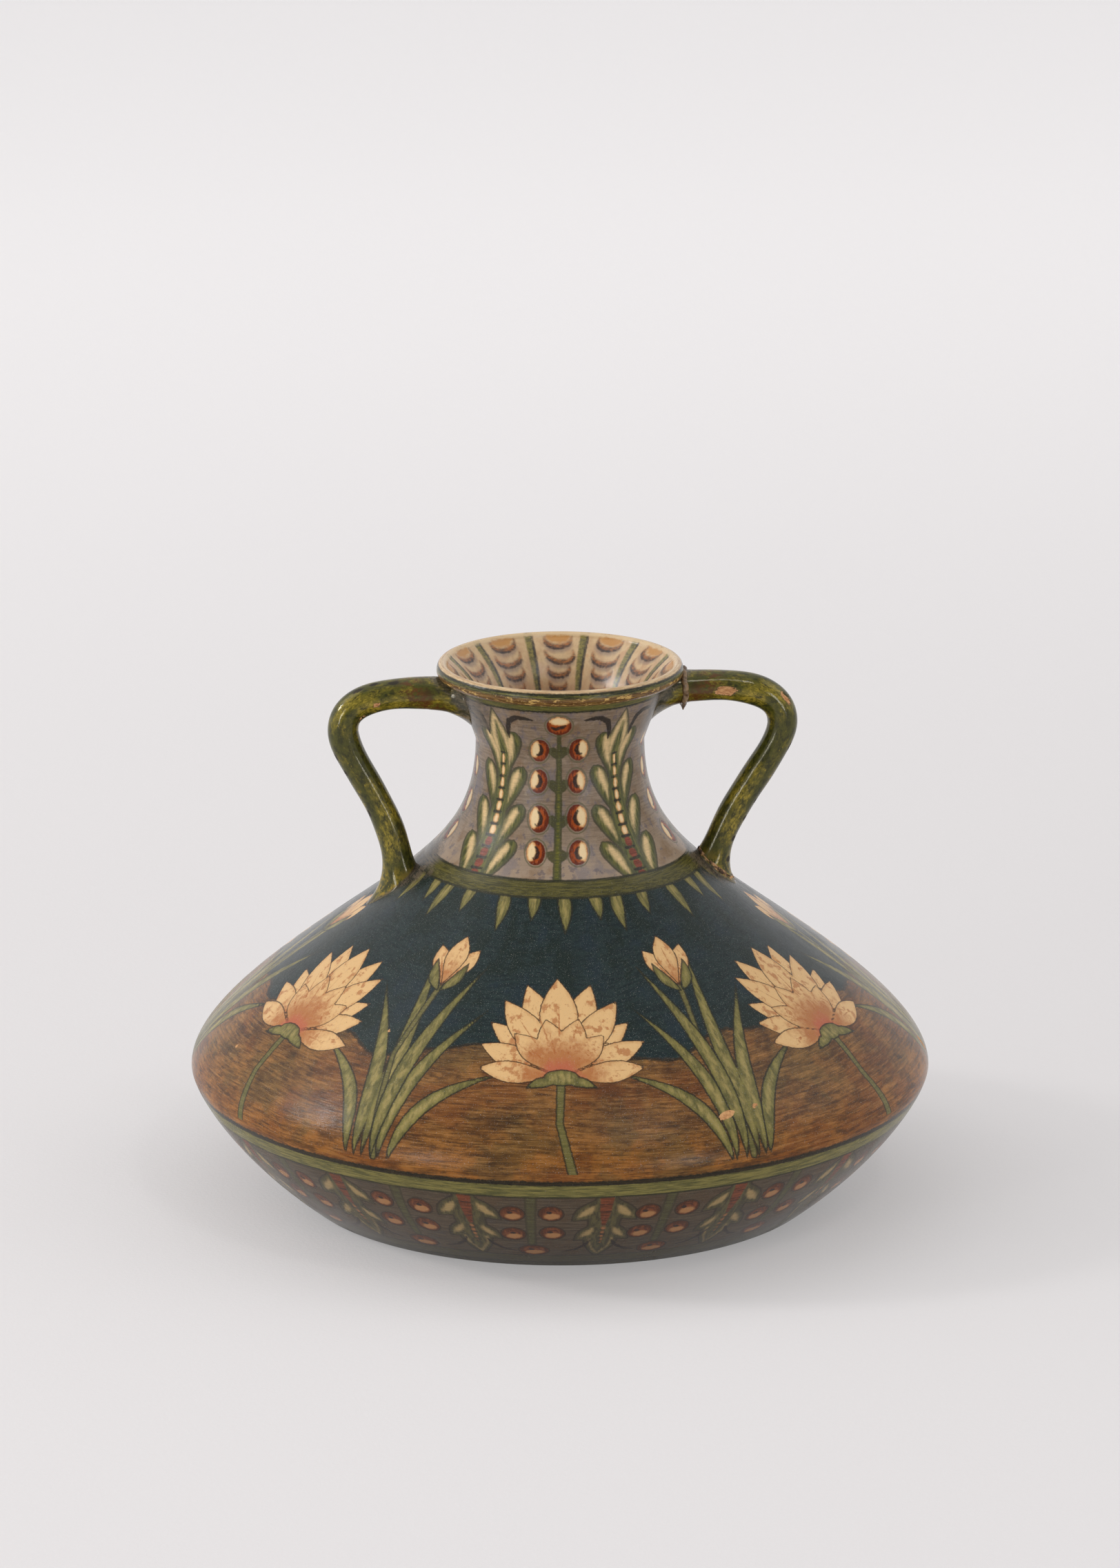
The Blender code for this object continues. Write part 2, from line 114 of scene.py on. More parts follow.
def bezier(start: Point, start_pull: Point, end_pull: Point, end: Point, count: int) -> Array:
    """Points of a cubic curve.

    The weights of its four corners are (1-t)^3, 3(1-t)^2 t, 3(1-t) t^2 and t^3.

    Args:
        start: First point, as (radius, height).
        start_pull: Corner that the curve leaves towards.
        end_pull: Corner that the curve arrives from.
        end: Last point.
        count: How many points.

    Returns:
        An array of (radius, height).
    """
    t = np.linspace(0.0, 1.0, count)[:, None]
    weights = ((1 - t) ** 3, 3 * (1 - t) ** 2 * t, 3 * (1 - t) * t ** 2, t ** 3)
    return sum(w * np.asarray(c, float) for w, c in zip(weights, (start, start_pull, end_pull, end)))


def along(slope: float, length: float) -> Array:
    """A step of a length up a line whose run over rise is the slope."""
    return length * np.array([slope, 1.0]) / math.hypot(slope, 1.0)


def lengths(points: Array) -> Array:
    """Length along a curve at each of its points."""
    return np.concatenate([[0.0], np.cumsum(np.linalg.norm(np.diff(points, axis=0), axis=1))])


@dataclass(frozen=True)
class VaseOutline:
    """Half outline of the vase, in millimetres, outside and inside."""

    height: float = 176.0
    foot_radius: float = 84.5
    belly_radius: float = 120.0
    belly_height: float = 42.0
    collar_height: float = 112.0
    turn_radius: float = 55.7
    turn_drop: float = 10.3
    waist_radius: float = 27.2
    waist_drop: float = 25.5
    throat_radius: float = 34.4
    rim_radius: float = 39.7
    rim_band: float = 6.0
    rim_widest_drop: float = 3.0
    rim_roll: float = 1.8
    lip_roll: float = 1.2
    lip_width: float = 3.6
    body_wall: float = 5.5
    neck_wall: float = 4.2
    floor: float = 7.0
    floor_radius: float = 70.0
    foot_slope: float = 1.32
    shoulder_slope: float = -1.24
    throat_slope: float = 0.39
    lip_slope: float = 1.25

    def outside(self) -> Array:
        """Wall from the foot to the throat, then round the rolled rim to the inner lip.

        Returns:
            Points as (radius, height).
        """
        foot = np.array([self.foot_radius, 0.0])
        edge = np.array([self.belly_radius, self.belly_height])
        turn = np.array([self.turn_radius, self.collar_height - self.turn_drop])
        waist = np.array([self.waist_radius, self.height - self.waist_drop])
        throat = np.array([self.throat_radius, self.height - self.rim_band])
        widest = np.array([self.rim_radius, self.height - self.rim_widest_drop])
        crest = np.array([self.rim_radius - self.lip_width / 2, self.height])
        lip = self.lip()
        slope, roll = self.shoulder_slope, self.lip_roll
        pieces = (
            bezier(foot, foot + along(self.foot_slope, 31.0), edge - (0, 4.0), edge, 400),
            bezier(edge, edge + (0, 15.7), turn - along(slope, 22.6), turn, 400),
            bezier(turn, turn + along(slope, 24.7), waist - (0, 22.4), waist, 400),
            bezier(waist, waist + (0, 1.1), throat - along(self.throat_slope, 12.0), throat, 300),
            bezier(throat, throat + (self.rim_roll, 0), widest - (0, self.rim_roll), widest, 40),
            bezier(widest, widest + (0, self.rim_roll), crest + (roll, 0), crest, 40),
            bezier(crest, crest - (roll, 0), lip + along(self.lip_slope, 0.05), lip, 40))
        return np.vstack([pieces[0]] + [piece[1:] for piece in pieces[1:]])

    def lip(self) -> Array:
        """Inner edge of the lip."""
        return np.array([self.rim_radius - self.lip_width, self.height - self.rim_widest_drop / 2])

    def inside(self) -> Array:
        """Wall from the edge of the floor up to the inner edge of the lip.

        Returns:
            Points as (radius, height).
        """
        floor = np.array([self.floor_radius, self.floor])
        edge = np.array([self.belly_radius - self.body_wall, self.belly_height])
        slope = self.shoulder_slope
        normal = np.array([1.0, -slope]) / math.hypot(slope, 1.0)
        turn = np.array([self.turn_radius, self.collar_height - self.turn_drop])
        turn = turn - self.body_wall * normal
        waist = np.array([self.waist_radius - self.neck_wall, self.height - self.waist_drop])
        lip = self.lip()
        pieces = (
            bezier(floor, (self.foot_radius, self.floor), edge - (0, 12.0), edge, 200),
            bezier(edge, edge + (0, 15.7), turn - along(slope, 22.6), turn, 200),
            bezier(turn, turn + along(slope, 24.7), waist - (0, 22.4), waist, 200),
            bezier(waist, waist + (0, 8.0), lip - along(self.lip_slope, 11.0), lip, 200))
        return np.vstack([pieces[0]] + [piece[1:] for piece in pieces[1:]])


OUTLINE = VaseOutline()
OUTSIDE = OUTLINE.outside()
OUTSIDE_ARC = lengths(OUTSIDE)
INSIDE = OUTLINE.inside()
INSIDE_ARC = lengths(INSIDE)
LIP_ARC = float(INSIDE_ARC[-1])
# Last point of the neck's curve, after the three curves of the body.
THROAT_ARC = float(OUTSIDE_ARC[400 + 399 + 399 + 299 - 1])
CREST_ARC = float(OUTSIDE_ARC[int(np.argmax(OUTSIDE[:, 1]))])


def arc_at(height: float) -> float:
    """Arc of the outside of the wall at a height below the throat."""
    wall = OUTSIDE_ARC <= THROAT_ARC
    return float(np.interp(height, OUTSIDE[wall, 1], OUTSIDE_ARC[wall]))


def wall_radius(height: Array) -> Array:
    """Radius of the outside of the wall at heights below the throat."""
    wall = OUTSIDE_ARC <= THROAT_ARC
    return np.interp(height, OUTSIDE[wall, 1], OUTSIDE[wall, 0])


def stations(low: float, high: float, step: float, edge: float = 0.06) -> Array:
    """Arcs from low to high at an even step, with one more close to each end."""
    even = np.linspace(low, high, max(int(round((high - low) / step)), 2) + 1)
    return np.concatenate([[low, low + edge], even[1:-1], [high - edge, high]])


def at_arcs(curve: Array, arcs: Array, wanted: Array) -> Array:
    """Points of a curve at the wanted arcs."""
    return np.column_stack([np.interp(wanted, arcs, curve[:, 0]), np.interp(wanted, arcs, curve[:, 1])])


# ---------------------------------------------------------------- painting


class Leaf(Enum):
    """Form of a painted leaf, with the share of its breadth that counts as distance."""

    POINTED = 0.93
    PADDLE = 0.9


class Pen:
    """A place on the wall, with the brush strokes that can be laid there.

    Its coordinates are millimetres to the right of a line up the wall, and the arc.
    """

    def __init__(self, canvas: Canvas, angle: float, reach: float, low: float, high: float,
                 lean: float) -> None:
        """Find the points of the canvas near the place.

        Args:
            canvas: The painting.
            angle: Degrees round the vase.
            reach: How far to each side the pen goes.
            low: Lowest arc that it reaches.
            high: Highest arc.
            lean: Run over rise of its upright.
        """
        turn = np.arctan2(np.sin(canvas.angle - math.radians(angle)),
                          np.cos(canvas.angle - math.radians(angle)))
        across = turn * canvas.radius
        self.canvas = canvas
        self.here = np.nonzero((np.abs(across) < reach) & (canvas.arc > low) & (canvas.arc < high)
                               & (np.abs(turn) < 2.0))[0]
        self.v = canvas.arc[self.here]
        self.u = across[self.here] - lean * (self.v - (low + high) / 2)

    def lay(self, paint: Paint, *distances: Array) -> None:
        """Add shapes to a paint, where the nearest edge counts."""
        layer = self.canvas.layers[paint]
        layer[self.here] = np.minimum.reduce([layer[self.here], *distances])

    def carve(self, paint: Paint, distance: Array) -> None:
        """Take a shape away from a paint."""
        layer = self.canvas.layers[paint]
        layer[self.here] = np.maximum(layer[self.here], -distance)

    def leaf(self, base: Point, tip: Point, width: float, swell: float, bend: float = 0.0,
             form: Leaf = Leaf.POINTED) -> Array:
        """Distance to a leaf along a line that bows as a half sine.

        The half width of a pointed leaf is a sine of a power of the way along it. That of a paddle
        grows as a sine up to the swell, then closes as a quarter of an oval.

        Args:
            base: Where the leaf starts, as (right, arc).
            tip: Where it ends.
            width: Its widest width.
            swell: How far along it is widest, from 0 to 1.
            bend: How far its middle bows to the left.
            form: Its form.

        Returns:
            The distance from its edge, less than 0 inside.
        """
        du, dv = tip[0] - base[0], tip[1] - base[1]
        length = math.hypot(du, dv)
        way = ((self.u - base[0]) * du + (self.v - base[1]) * dv) / length
        side = ((self.v - base[1]) * du - (self.u - base[0]) * dv) / length
        share = np.clip(way / length, 0.0, 1.0)
        side = side - bend * np.sin(math.pi * share)
        if form is Leaf.POINTED:
            half = width / 2 * np.sin(math.pi * share ** (math.log(0.5) / math.log(swell)))
        else:
            grow = np.sin(math.pi / 2 * np.minimum(share / swell, 1.0))
            close = np.sqrt(np.clip(1 - (np.maximum(share - swell, 0) / (1 - swell)) ** 2, 0, 1))
            half = width / 2 * grow * close
        past = np.maximum(np.maximum(-way, way - length), 0.0)
        return np.where(past > 0, np.hypot(past, side), (np.abs(side) - half) * form.value)

    def oval(self, centre: Point, half_width: float, half_height: float,
             lean: float = 0.0) -> Array:
        """Distance to an oval, turned by lean in radians: (|p / halves| - 1) times its size.

        Args:
            centre: Its middle, as (right, arc).
            half_width: Half its width.
            half_height: Half its height.
            lean: Its turn in radians.

        Returns:
            The distance, less than 0 inside.
        """
        du, dv = self.u - centre[0], self.v - centre[1]
        right = du * math.cos(lean) + dv * math.sin(lean)
        up = dv * math.cos(lean) - du * math.sin(lean)
        size = np.hypot(right / half_width, up / half_height)
        return (size - 1) * np.hypot(right, up) / np.maximum(size, 1e-6)

    def stroke(self, *knots: tuple[float, float, float]) -> Array:
        """Distance to a brush stroke through knots of (right, arc, half width).

        Args:
            knots: Points that it goes through, each with the half width there.

        Returns:
            The distance, less than 0 inside.
        """
        best = np.full(len(self.u), FAR)
        for (u0, v0, w0), (u1, v1, w1) in zip(knots, knots[1:]):
            du, dv = u1 - u0, v1 - v0
            share = ((self.u - u0) * du + (self.v - v0) * dv) / (du * du + dv * dv)
            share = np.clip(share, 0.0, 1.0)
            gap = np.hypot(self.u - u0 - share * du, self.v - v0 - share * dv)
            best = np.minimum(best, gap - (w0 + share * (w1 - w0)))
        return best


class Canvas:
    """Distance from each point of a surface to the edge of each paint, less than 0 inside it."""

    def __init__(self, angle: Array, arc: Array, radius: Array, seed: int) -> None:
        """Start with no paint.

        Args:
            angle: Angle of each point round the vase, in radians.
            arc: Its arc.
            radius: Its radius.
            seed: Seed of the small slips of the hand.
        """
        self.angle = angle
        self.arc = arc
        self.radius = radius
        self.hand = np.random.default_rng(seed)
        self.layers = {paint: np.full(len(angle), FAR) for paint in Paint}

    def pen(self, angle: float, reach: float, low: float, high: float) -> Pen:
        """A pen at an angle seen from the camera's side, with the small lean of a hand."""
        lean = float(self.hand.normal(0.0, 0.012))
        return Pen(self, angle + FRONT, reach, low, high, lean)

    def store(self, mesh: bpy.types.Mesh, names: Sequence[str]) -> None:
        """Put the distances into the mesh, three to an attribute of the given names."""
        for name in names:
            set_vector(mesh, name, np.stack([self.layers[p] for p in Paint if p.value[0] == name], axis=1))


def set_vector(mesh: bpy.types.Mesh, name: str, values: Array) -> None:
    """Store three numbers at each point of a mesh."""
    attribute = mesh.attributes.new(name, "FLOAT_VECTOR", "POINT")
    attribute.data.foreach_set("vector", values.astype(np.float32).ravel())


def mirrored(side: int, *points: Sequence[float]) -> list[tuple[float, ...]]:
    """Points with their first coordinate turned to one side."""
    return [(side * point[0], *point[1:]) for point in points]


@dataclass
class Painting:
    """What is painted on one canvas, by a hand that slips a little."""

    canvas: Canvas

    def slip(self, spread: float, middle: float = 0.0) -> float:
        """A slip of the hand, drawn from the bell curve of a spread about its middle."""
        return float(self.canvas.hand.normal(middle, spread))

    def paint(self) -> None:
        """Lay everything."""
        raise NotImplementedError


@dataclass
class NeckPainting(Painting):
    """Berry stems and leaf sprigs, four of each, round the neck."""

    stem_angle: float = -1.0
    swing: float = 4.5
    rows: tuple[tuple[float, float, float], ...] = (
        (207.5, 6.1, 1.0), (196.5, 6.1, 0.94), (184.8, 6.2, 1.06), (173.4, 6.8, 1.02))

    def place(self, nominal: float) -> float:
        """Angle of a motif: the sprigs stand a little nearer to the front and back stems."""
        return self.stem_angle + nominal - self.swing * math.sin(math.radians(2 * nominal))

    def paint(self) -> None:
        """Lay all eight motifs."""
        for quarter in range(4):
            self.berry_stem(self.place(90 * quarter))
            self.sprig(self.place(90 * quarter + 45))

    def berry_stem(self, angle: float) -> None:
        """A stem with four pairs of berries and one on top.

        Args:
            angle: Degrees round the vase.
        """
        pen = self.canvas.pen(angle, 16, 158, 228)
        stem = pen.stroke((0.2, 161, 1.7), (0, 166, 1.25), (0.1, 190, 1.0), (0, 213.2, 0.55))
        pen.lay(Paint.STEM, stem)
        for height, reach, size in self.rows:
            for side in (-1, 1):
                slip = self.canvas.hand.normal(0, 0.22, 2)
                for lift in (-3.4, -2.2, -1.0):
                    pen.lay(Paint.STEM, pen.stroke(*mirrored(
                        side, (0.3, height + lift, 0.3), (1.7, height + lift + 1.5 + slip[0], 0.55),
                        (3.3, height + lift * 0.5 + 0.8, 0.2))))
                self.berry(pen, (side * reach + slip[0], height + slip[1]), side, size)
        self.top_berry(pen)

    def berry(self, pen: Pen, centre: Point, side: int, size: float) -> None:
        """An upright oval: russet by the stem, cream outside, with a dark hook between.

        Args:
            pen: Pen at the motif.
            centre: Its middle, as (right, arc).
            side: Side of the stem, -1 or 1.
            size: Its scale.
        """
        lean = side * self.slip(0.06, 0.06)
        body = pen.oval(centre, 3.1 * size, 4.2 * size, lean)
        pen.lay(Paint.BERRY, body)
        pale = pen.oval((centre[0] + side * 1.9, centre[1] + 0.5), 2.3 * size, 3.5 * size, lean)
        pen.lay(Paint.CREAM, np.maximum(pale, body + 0.12))
        hook = [(centre[0] + side * u * size, centre[1] + v * size, w) for u, v, w in
                ((0.2, 2.3, 0.25), (-0.45, 1.3, 0.5), (-0.75, 0.0, 0.62), (-0.3, -1.3, 0.62),
                 (0.5, -1.9, 0.45), (1.0, -1.7, 0.25))]
        pen.lay(Paint.INK, pen.stroke(*hook))

    def top_berry(self, pen: Pen) -> None:
        """The wide berry on top of a stem: cream above, russet below.

        Args:
            pen: Pen at the motif.
        """
        body = pen.oval((0, 217.0), 4.1, 3.6)
        pen.lay(Paint.BERRY, body)
        pen.lay(Paint.CREAM, np.maximum(pen.oval((0.2, 219.2), 3.6, 2.2), body + 0.12))
        pen.lay(Paint.INK, pen.stroke((-2.3, 216.3, 0.35), (-1.1, 215.7, 0.6), (0.1, 216.2, 0.5),
                                      (1.3, 216.5, 0.6), (2.0, 217.0, 0.3)))

    def sprig(self, angle: float) -> None:
        """A leaf sprig: three pairs of leaves, a tall three-pointed top and a beaded midrib.

        Args:
            angle: Degrees round the vase.
        """
        pen = self.canvas.pen(angle, 17, 158, 228)
        pen.lay(Paint.LEAF, pen.leaf((0, 138), (0, 214), 7.6, 0.45))
        rows = (((3.4, 159.0), (9.2, 177.0), 6.6), ((2.6, 172.0), (8.6, 188.8), 6.0),
                ((2.0, 185.0), (7.5, 201.3), 5.6))
        for base, tip, width in rows:
            for side in (-1, 1):
                shift = self.slip(0.35)
                start, end = mirrored(side, (base[0], base[1] + shift), (tip[0], tip[1] + shift))
                pen.lay(Paint.LEAF, pen.leaf(start, end, width, 0.74, side * 0.5, Leaf.PADDLE))
                low, high = mirrored(side, (base[0] + 1.2, base[1] + 4.2 + shift),
                                     (tip[0] - 1.0, tip[1] - 0.7 + shift))
                heart = pen.leaf(low, high, width * 0.56, 0.72, side * 0.6, Leaf.PADDLE)
                notch = pen.oval((high[0] + side * 0.5, high[1] + 0.1), 0.7, 1.3)
                pen.lay(Paint.HEART, np.maximum(heart, -notch))
        for side in (-1, 1):
            base, tip = mirrored(side, (0.6, 195.5), (6.7, 213.2))
            pen.lay(Paint.LEAF, pen.leaf(base, tip, 6.2, 0.76, side * 1.0, Leaf.PADDLE))
            low, high = mirrored(side, (1.6, 199.0), (5.4, 212.6))
            pen.lay(Paint.HEART, pen.leaf(low, high, 3.4, 0.66, side * 0.3, Leaf.PADDLE))
        pen.lay(Paint.LEAF, pen.leaf((0, 190), (0.2, 221.6), 8.4, 0.54))
        pen.lay(Paint.HEART, pen.leaf((0, 199), (0.2, 221.0), 7.0, 0.5))
        pen.carve(Paint.HEART, pen.leaf((0, 186), (0.4, 216.5), 3.4, 0.45))
        self.midrib(pen)
        for side in (-1, 1):
            hook = mirrored(side, (4.2, 210.8, 0.25), (4.5, 214.0, 0.7), (5.9, 217.6, 0.95),
                            (8.8, 219.3, 0.85), (11.8, 219.3, 0.65), (14.4, 218.8, 0.3))
            pen.lay(Paint.INK, pen.stroke(*hook))

    def midrib(self, pen: Pen) -> None:
        """Beads up the middle: red at the foot, then cream, with a dark dash after each.

        Args:
            pen: Pen at the motif.
        """
        arc = 163.6
        while arc < 204.0:
            share = (arc - 163.6) / 40.4
            half = 1.75 - 1.25 * share
            beads = Paint.RED if share < 0.30 else Paint.CREAM
            pen.lay(beads, pen.oval((0, arc), half, 1.75))
            dash = 0.52 - 0.2 * share
            pen.lay(Paint.INK, pen.stroke((-half - 0.3, arc + 1.95, dash),
                                          (half + 0.2, arc + 2.15, dash * 0.8)))
            arc += 3.9


@dataclass
class BasePainting(Painting):
    """Sixteen berry stems and sixteen hanging leaf sprigs round the base."""

    repeats: int = 16
    stem_angle: float = -4.8
    sprig_angle: float = 7.2

    def paint(self) -> None:
        """Lay every stem and sprig."""
        step = 360 / self.repeats
        for k in range(self.repeats):
            self.berry_stem(self.stem_angle + step * k + self.slip(0.25))
            self.sprig(self.sprig_angle + step * k + self.slip(0.25))

    def berry_stem(self, angle: float) -> None:
        """A hanging stem, two pairs of berries and one at its end.

        Args:
            angle: Degrees round the vase.
        """
        pen = self.canvas.pen(angle, 16, 4, 50)
        pen.lay(Paint.STEM, pen.stroke((0.2, 47, 2.0), (-0.2, 36, 1.7), (-0.4, 18.5, 1.35)))
        for arc, reach in ((37.4, 6.5), (25.7, 6.3)):
            for side in (-1, 1):
                slip = self.canvas.hand.normal(0, 0.4, 2)
                self.berry(pen, (side * reach + slip[0], arc + slip[1]), 3.9, 4.0)
        self.berry(pen, (0.0, 13.6), 4.7, 3.7)

    def berry(self, pen: Pen, centre: Point, half_width: float, half_height: float) -> None:
        """A round berry: russet with a paler belly, and a dark spot and arc near its top.

        Args:
            pen: Pen at the motif.
            centre: Its middle, as (right, arc).
            half_width: Half its width.
            half_height: Half its height.
        """
        body = pen.oval(centre, half_width, half_height)
        pen.lay(Paint.BERRY, body)
        pale = pen.oval((centre[0] + 0.3, centre[1] - 1.5), half_width * 0.72, half_height * 0.52)
        pen.lay(Paint.CREAM, np.maximum(pale, body + 0.6))
        slip = self.slip(0.3)
        pen.lay(Paint.INK, pen.oval((centre[0] - 0.6 + slip, centre[1] + 0.7), 0.95, 0.75))
        glint = ((-2.2, 0.2, 0.25), (-1.0, 2.1, 0.4), (1.2, 2.0, 0.35), (2.1, 0.3, 0.2))
        pen.lay(Paint.GOLD, pen.stroke(*[(centre[0] + u, centre[1] + v, w) for u, v, w in glint]))

    def sprig(self, angle: float) -> None:
        """A hanging sprig: red cone and beads, two pairs of leaves and a pointed end.

        Args:
            angle: Degrees round the vase.
        """
        pen = self.canvas.pen(angle, 17, 4, 50)
        pen.lay(Paint.LEAF, pen.leaf((0, 56), (0, 12), 10.0, 0.5))
        pairs = (((1.6, 46.2), (10.2, 33.4), 7.6, (3.4, 42.6), (9.0, 35.2), 3.6),
                 ((0.8, 33.5), (8.4, 20.9), 7.0, (3.0, 30.0), (7.3, 22.6), 2.9))
        for base, tip, width, low, high, heart in pairs:
            for side in (-1, 1):
                start, end = mirrored(side, base, tip)
                pen.lay(Paint.LEAF, pen.leaf(start, end, width, 0.55, -side * 1.2))
                start, end = mirrored(side, low, high)
                pen.lay(Paint.HEART, pen.leaf(start, end, heart, 0.5, -side * 0.6))
        end = pen.leaf((0, 33), (-0.3, 8.2), 10.4, 0.44)
        pen.lay(Paint.LEAF, end)
        rim = np.abs(end + 1.5) - 0.45
        pen.lay(Paint.HEART, np.maximum(rim, np.maximum(pen.v - 22.5, 9.8 - pen.v)))
        pen.lay(Paint.RED, pen.stroke((0, 46.0, 2.3), (0, 38, 1.7), (0, 31.0, 0.7)))
        for arc in (42.0, 38.2, 34.4, 31.2):
            half = 2.2 * (arc - 25) / 18
            pen.lay(Paint.INK, pen.stroke((-half, arc, 0.22), (half, arc + 0.2, 0.2)))
        for arc, half in ((28.9, 0.85), (26.2, 0.72), (23.7, 0.6), (21.4, 0.45), (19.4, 0.35)):
            pen.lay(Paint.CREAM, pen.oval((0, arc), half, 1.0))
            pen.lay(Paint.INK, pen.stroke((-half - 0.3, arc - 1.2, 0.22), (half + 0.2, arc - 1.4, 0.2)))
        for side in (-1, 1):
            hook = mirrored(side, (3.4, 20.8, 0.3), (4.8, 17.4, 0.62), (7.4, 14.4, 0.55),
                            (11.2, 12.8, 0.25))
            pen.lay(Paint.INK, pen.stroke(*hook))


@dataclass
class FriezePainting(Painting):
    """A plain band of water flowers and strap leaves round the shoulder."""

    repeats: int = 6
    bank: float = 57.0

    def paint(self) -> None:
        """Lay leaves, stems, flowers and the fringe under the collar."""
        step = 360 / self.repeats
        for k in range(self.repeats):
            self.strap_leaves(step * (k + 0.5) + self.slip(0.8), k % 2)
            self.bud(step * (k + 0.5))
            self.flower(step * k + self.slip(0.6))
        self.fringe()
        self.chips()

    def strap_leaves(self, angle: float, turn: int) -> None:
        """A tuft of long leaves from the bank: upright ones behind, bent ones in front.

        Args:
            angle: Degrees round the vase.
            turn: Whether the tuft leans to the right.
        """
        pen = self.canvas.pen(angle, 60, self.bank - 4, 150)
        side = 1 if turn else -1
        behind = ((-21, 118, 5.6, 5), (20, 114, 5.4, -5), (-8, 137, 5.4, 2.5))
        before = ((-33, 93, 5.2, 7), (35, 90, 5.4, -7), (12, 131, 5.6, -4))
        for paint, blades in ((Paint.LEAF, behind), (Paint.FRONT_LEAF, before)):
            for lean, height, width, bow in blades:
                root = side * lean * 0.22 + self.slip(0.6)
                pen.lay(paint, pen.leaf((root, self.bank - 1), (side * lean, height), width, 0.40,
                                        bend=-side * bow))

    def flower(self, angle: float) -> None:
        """An open water flower on its stem: petals fan from one point, in three ranks.

        Args:
            angle: Degrees round the vase.
        """
        pen = self.canvas.pen(angle, 46, self.bank - 4, 150)
        base = (0.0, 89.0)
        pen.lay(Paint.STEM, pen.stroke((3.5, self.bank - 2, 1.6), (-0.6, 72, 1.25), (0, 90, 1.5)))
        ranks = ((Paint.BACK_PETAL, ((-48, 29.0, 9.0), (-16, 36.5, 10.5), (16, 36.5, 10.5), (48, 29.0, 9.0))),
                 (Paint.PETAL, ((-66, 28.0, 9.0), (-31, 33.5, 10.5), (0, 37.5, 12.0), (31, 33.5, 10.5),
                                (66, 28.0, 9.0))),
                 (Paint.FRONT_PETAL, ((-84, 27.0, 8.0), (-42, 21.0, 8.5), (-14, 22.5, 9.0), (14, 22.5, 9.0),
                                      (42, 21.0, 8.5), (84, 27.0, 8.0))))
        for paint, petals in ranks:
            for lean, length, width in petals:
                self.petal(pen, paint, base, math.radians(lean + self.slip(1.0)),
                           length * self.slip(0.015, 1), width)
        pen.lay(Paint.BLUSH, np.hypot(pen.u - base[0], pen.v - base[1]) - 13.0)
        pen.lay(Paint.CALYX, pen.oval((0.0, 88.6), 5.6, 3.0))
        for side in (-1, 1):
            start, end = mirrored(side, (1.0, 87.0), (11.5, 84.6))
            pen.lay(Paint.CALYX, pen.leaf(start, end, 3.8, 0.45, side * 1.0))

    def petal(self, pen: Pen, paint: Paint, base: Point, lean: float, length: float, width: float) -> None:
        """One pointed petal.

        Args:
            pen: Pen at the motif.
            paint: Paint of its rank.
            base: Where it starts, as (right, arc).
            lean: Its turn to the right, in radians.
            length: Its length.
            width: Its width.
        """
        reach = (math.sin(lean), math.cos(lean))
        tip = (base[0] + length * reach[0], base[1] + length * reach[1])
        pen.lay(paint, pen.leaf(base, tip, width, 0.60))
        vein = (base[0] + 0.40 * length * reach[0], base[1] + 0.40 * length * reach[1])
        end = (base[0] + 0.78 * length * reach[0], base[1] + 0.78 * length * reach[1])
        pen.lay(Paint.GOLD, pen.stroke((*vein, 0.32), (*end, 0.08)))

    def bud(self, angle: float) -> None:
        """A closed bud on a thin stem between two flowers.

        Args:
            angle: Degrees round the vase.
        """
        pen = self.canvas.pen(angle, 24, self.bank - 4, 152)
        lean = self.slip(1.5)
        pen.lay(Paint.STEM, pen.stroke((1.5, self.bank, 1.25), (-2.0 - lean, 92, 0.95), (0, 121, 1.1)))
        petals = ((Paint.BACK_PETAL, -0.40, 17.0, 6.5), (Paint.BACK_PETAL, 0.42, 17.5, 6.5),
                  (Paint.PETAL, 0.02, 20.5, 7.4))
        for paint, turn, length, width in petals:
            self.petal(pen, paint, (0.0, 120.0), turn, length, width)
        pen.lay(Paint.BLUSH, np.hypot(pen.u, pen.v - 120.0) - 7.0)
        for side in (-1, 1):
            start, end = mirrored(side, (0.2, 118.0), (5.6, 130.5))
            pen.lay(Paint.CALYX, pen.leaf(start, end, 4.0, 0.45, -side * 1.3))

    def fringe(self) -> None:
        """Short leaves that hang from the collar, longer and shorter by turns."""
        count = 30
        for k in range(count):
            pen = self.canvas.pen(360 * k / count, 9, 136, 160)
            long = 14.5 if k % 2 == 0 else 9.5
            sway = self.slip(0.6) + (1.8 if k % 4 < 2 else -1.8)
            pen.lay(Paint.FRONT_LEAF, pen.leaf((0, 163.0), (sway, 158.0 - long), 4.6, 0.42,
                                               bend=0.8 if k % 4 < 2 else -0.8))

    def chips(self) -> None:
        """Small losses of glaze on the belly."""
        losses = ((27.5, 71.0, 3.2, 1.2), (88.0, 63.0, 0.9, 3.4), (33.0, 72.4, 1.4, 0.7),
                  (-36.0, 100.0, 0.7, 0.6), (64.0, 118.0, 0.8, 1.8), (151.0, 66.0, 2.4, 1.1),
                  (-128.0, 59.0, 1.6, 0.8), (-70.0, 75.0, 0.8, 0.7))
        for angle, arc, wide, high in losses:
            pen = self.canvas.pen(angle, 8, arc - 8, arc + 8)
            pen.lay(Paint.BARE, pen.oval((0, arc), wide, high, 0.3))


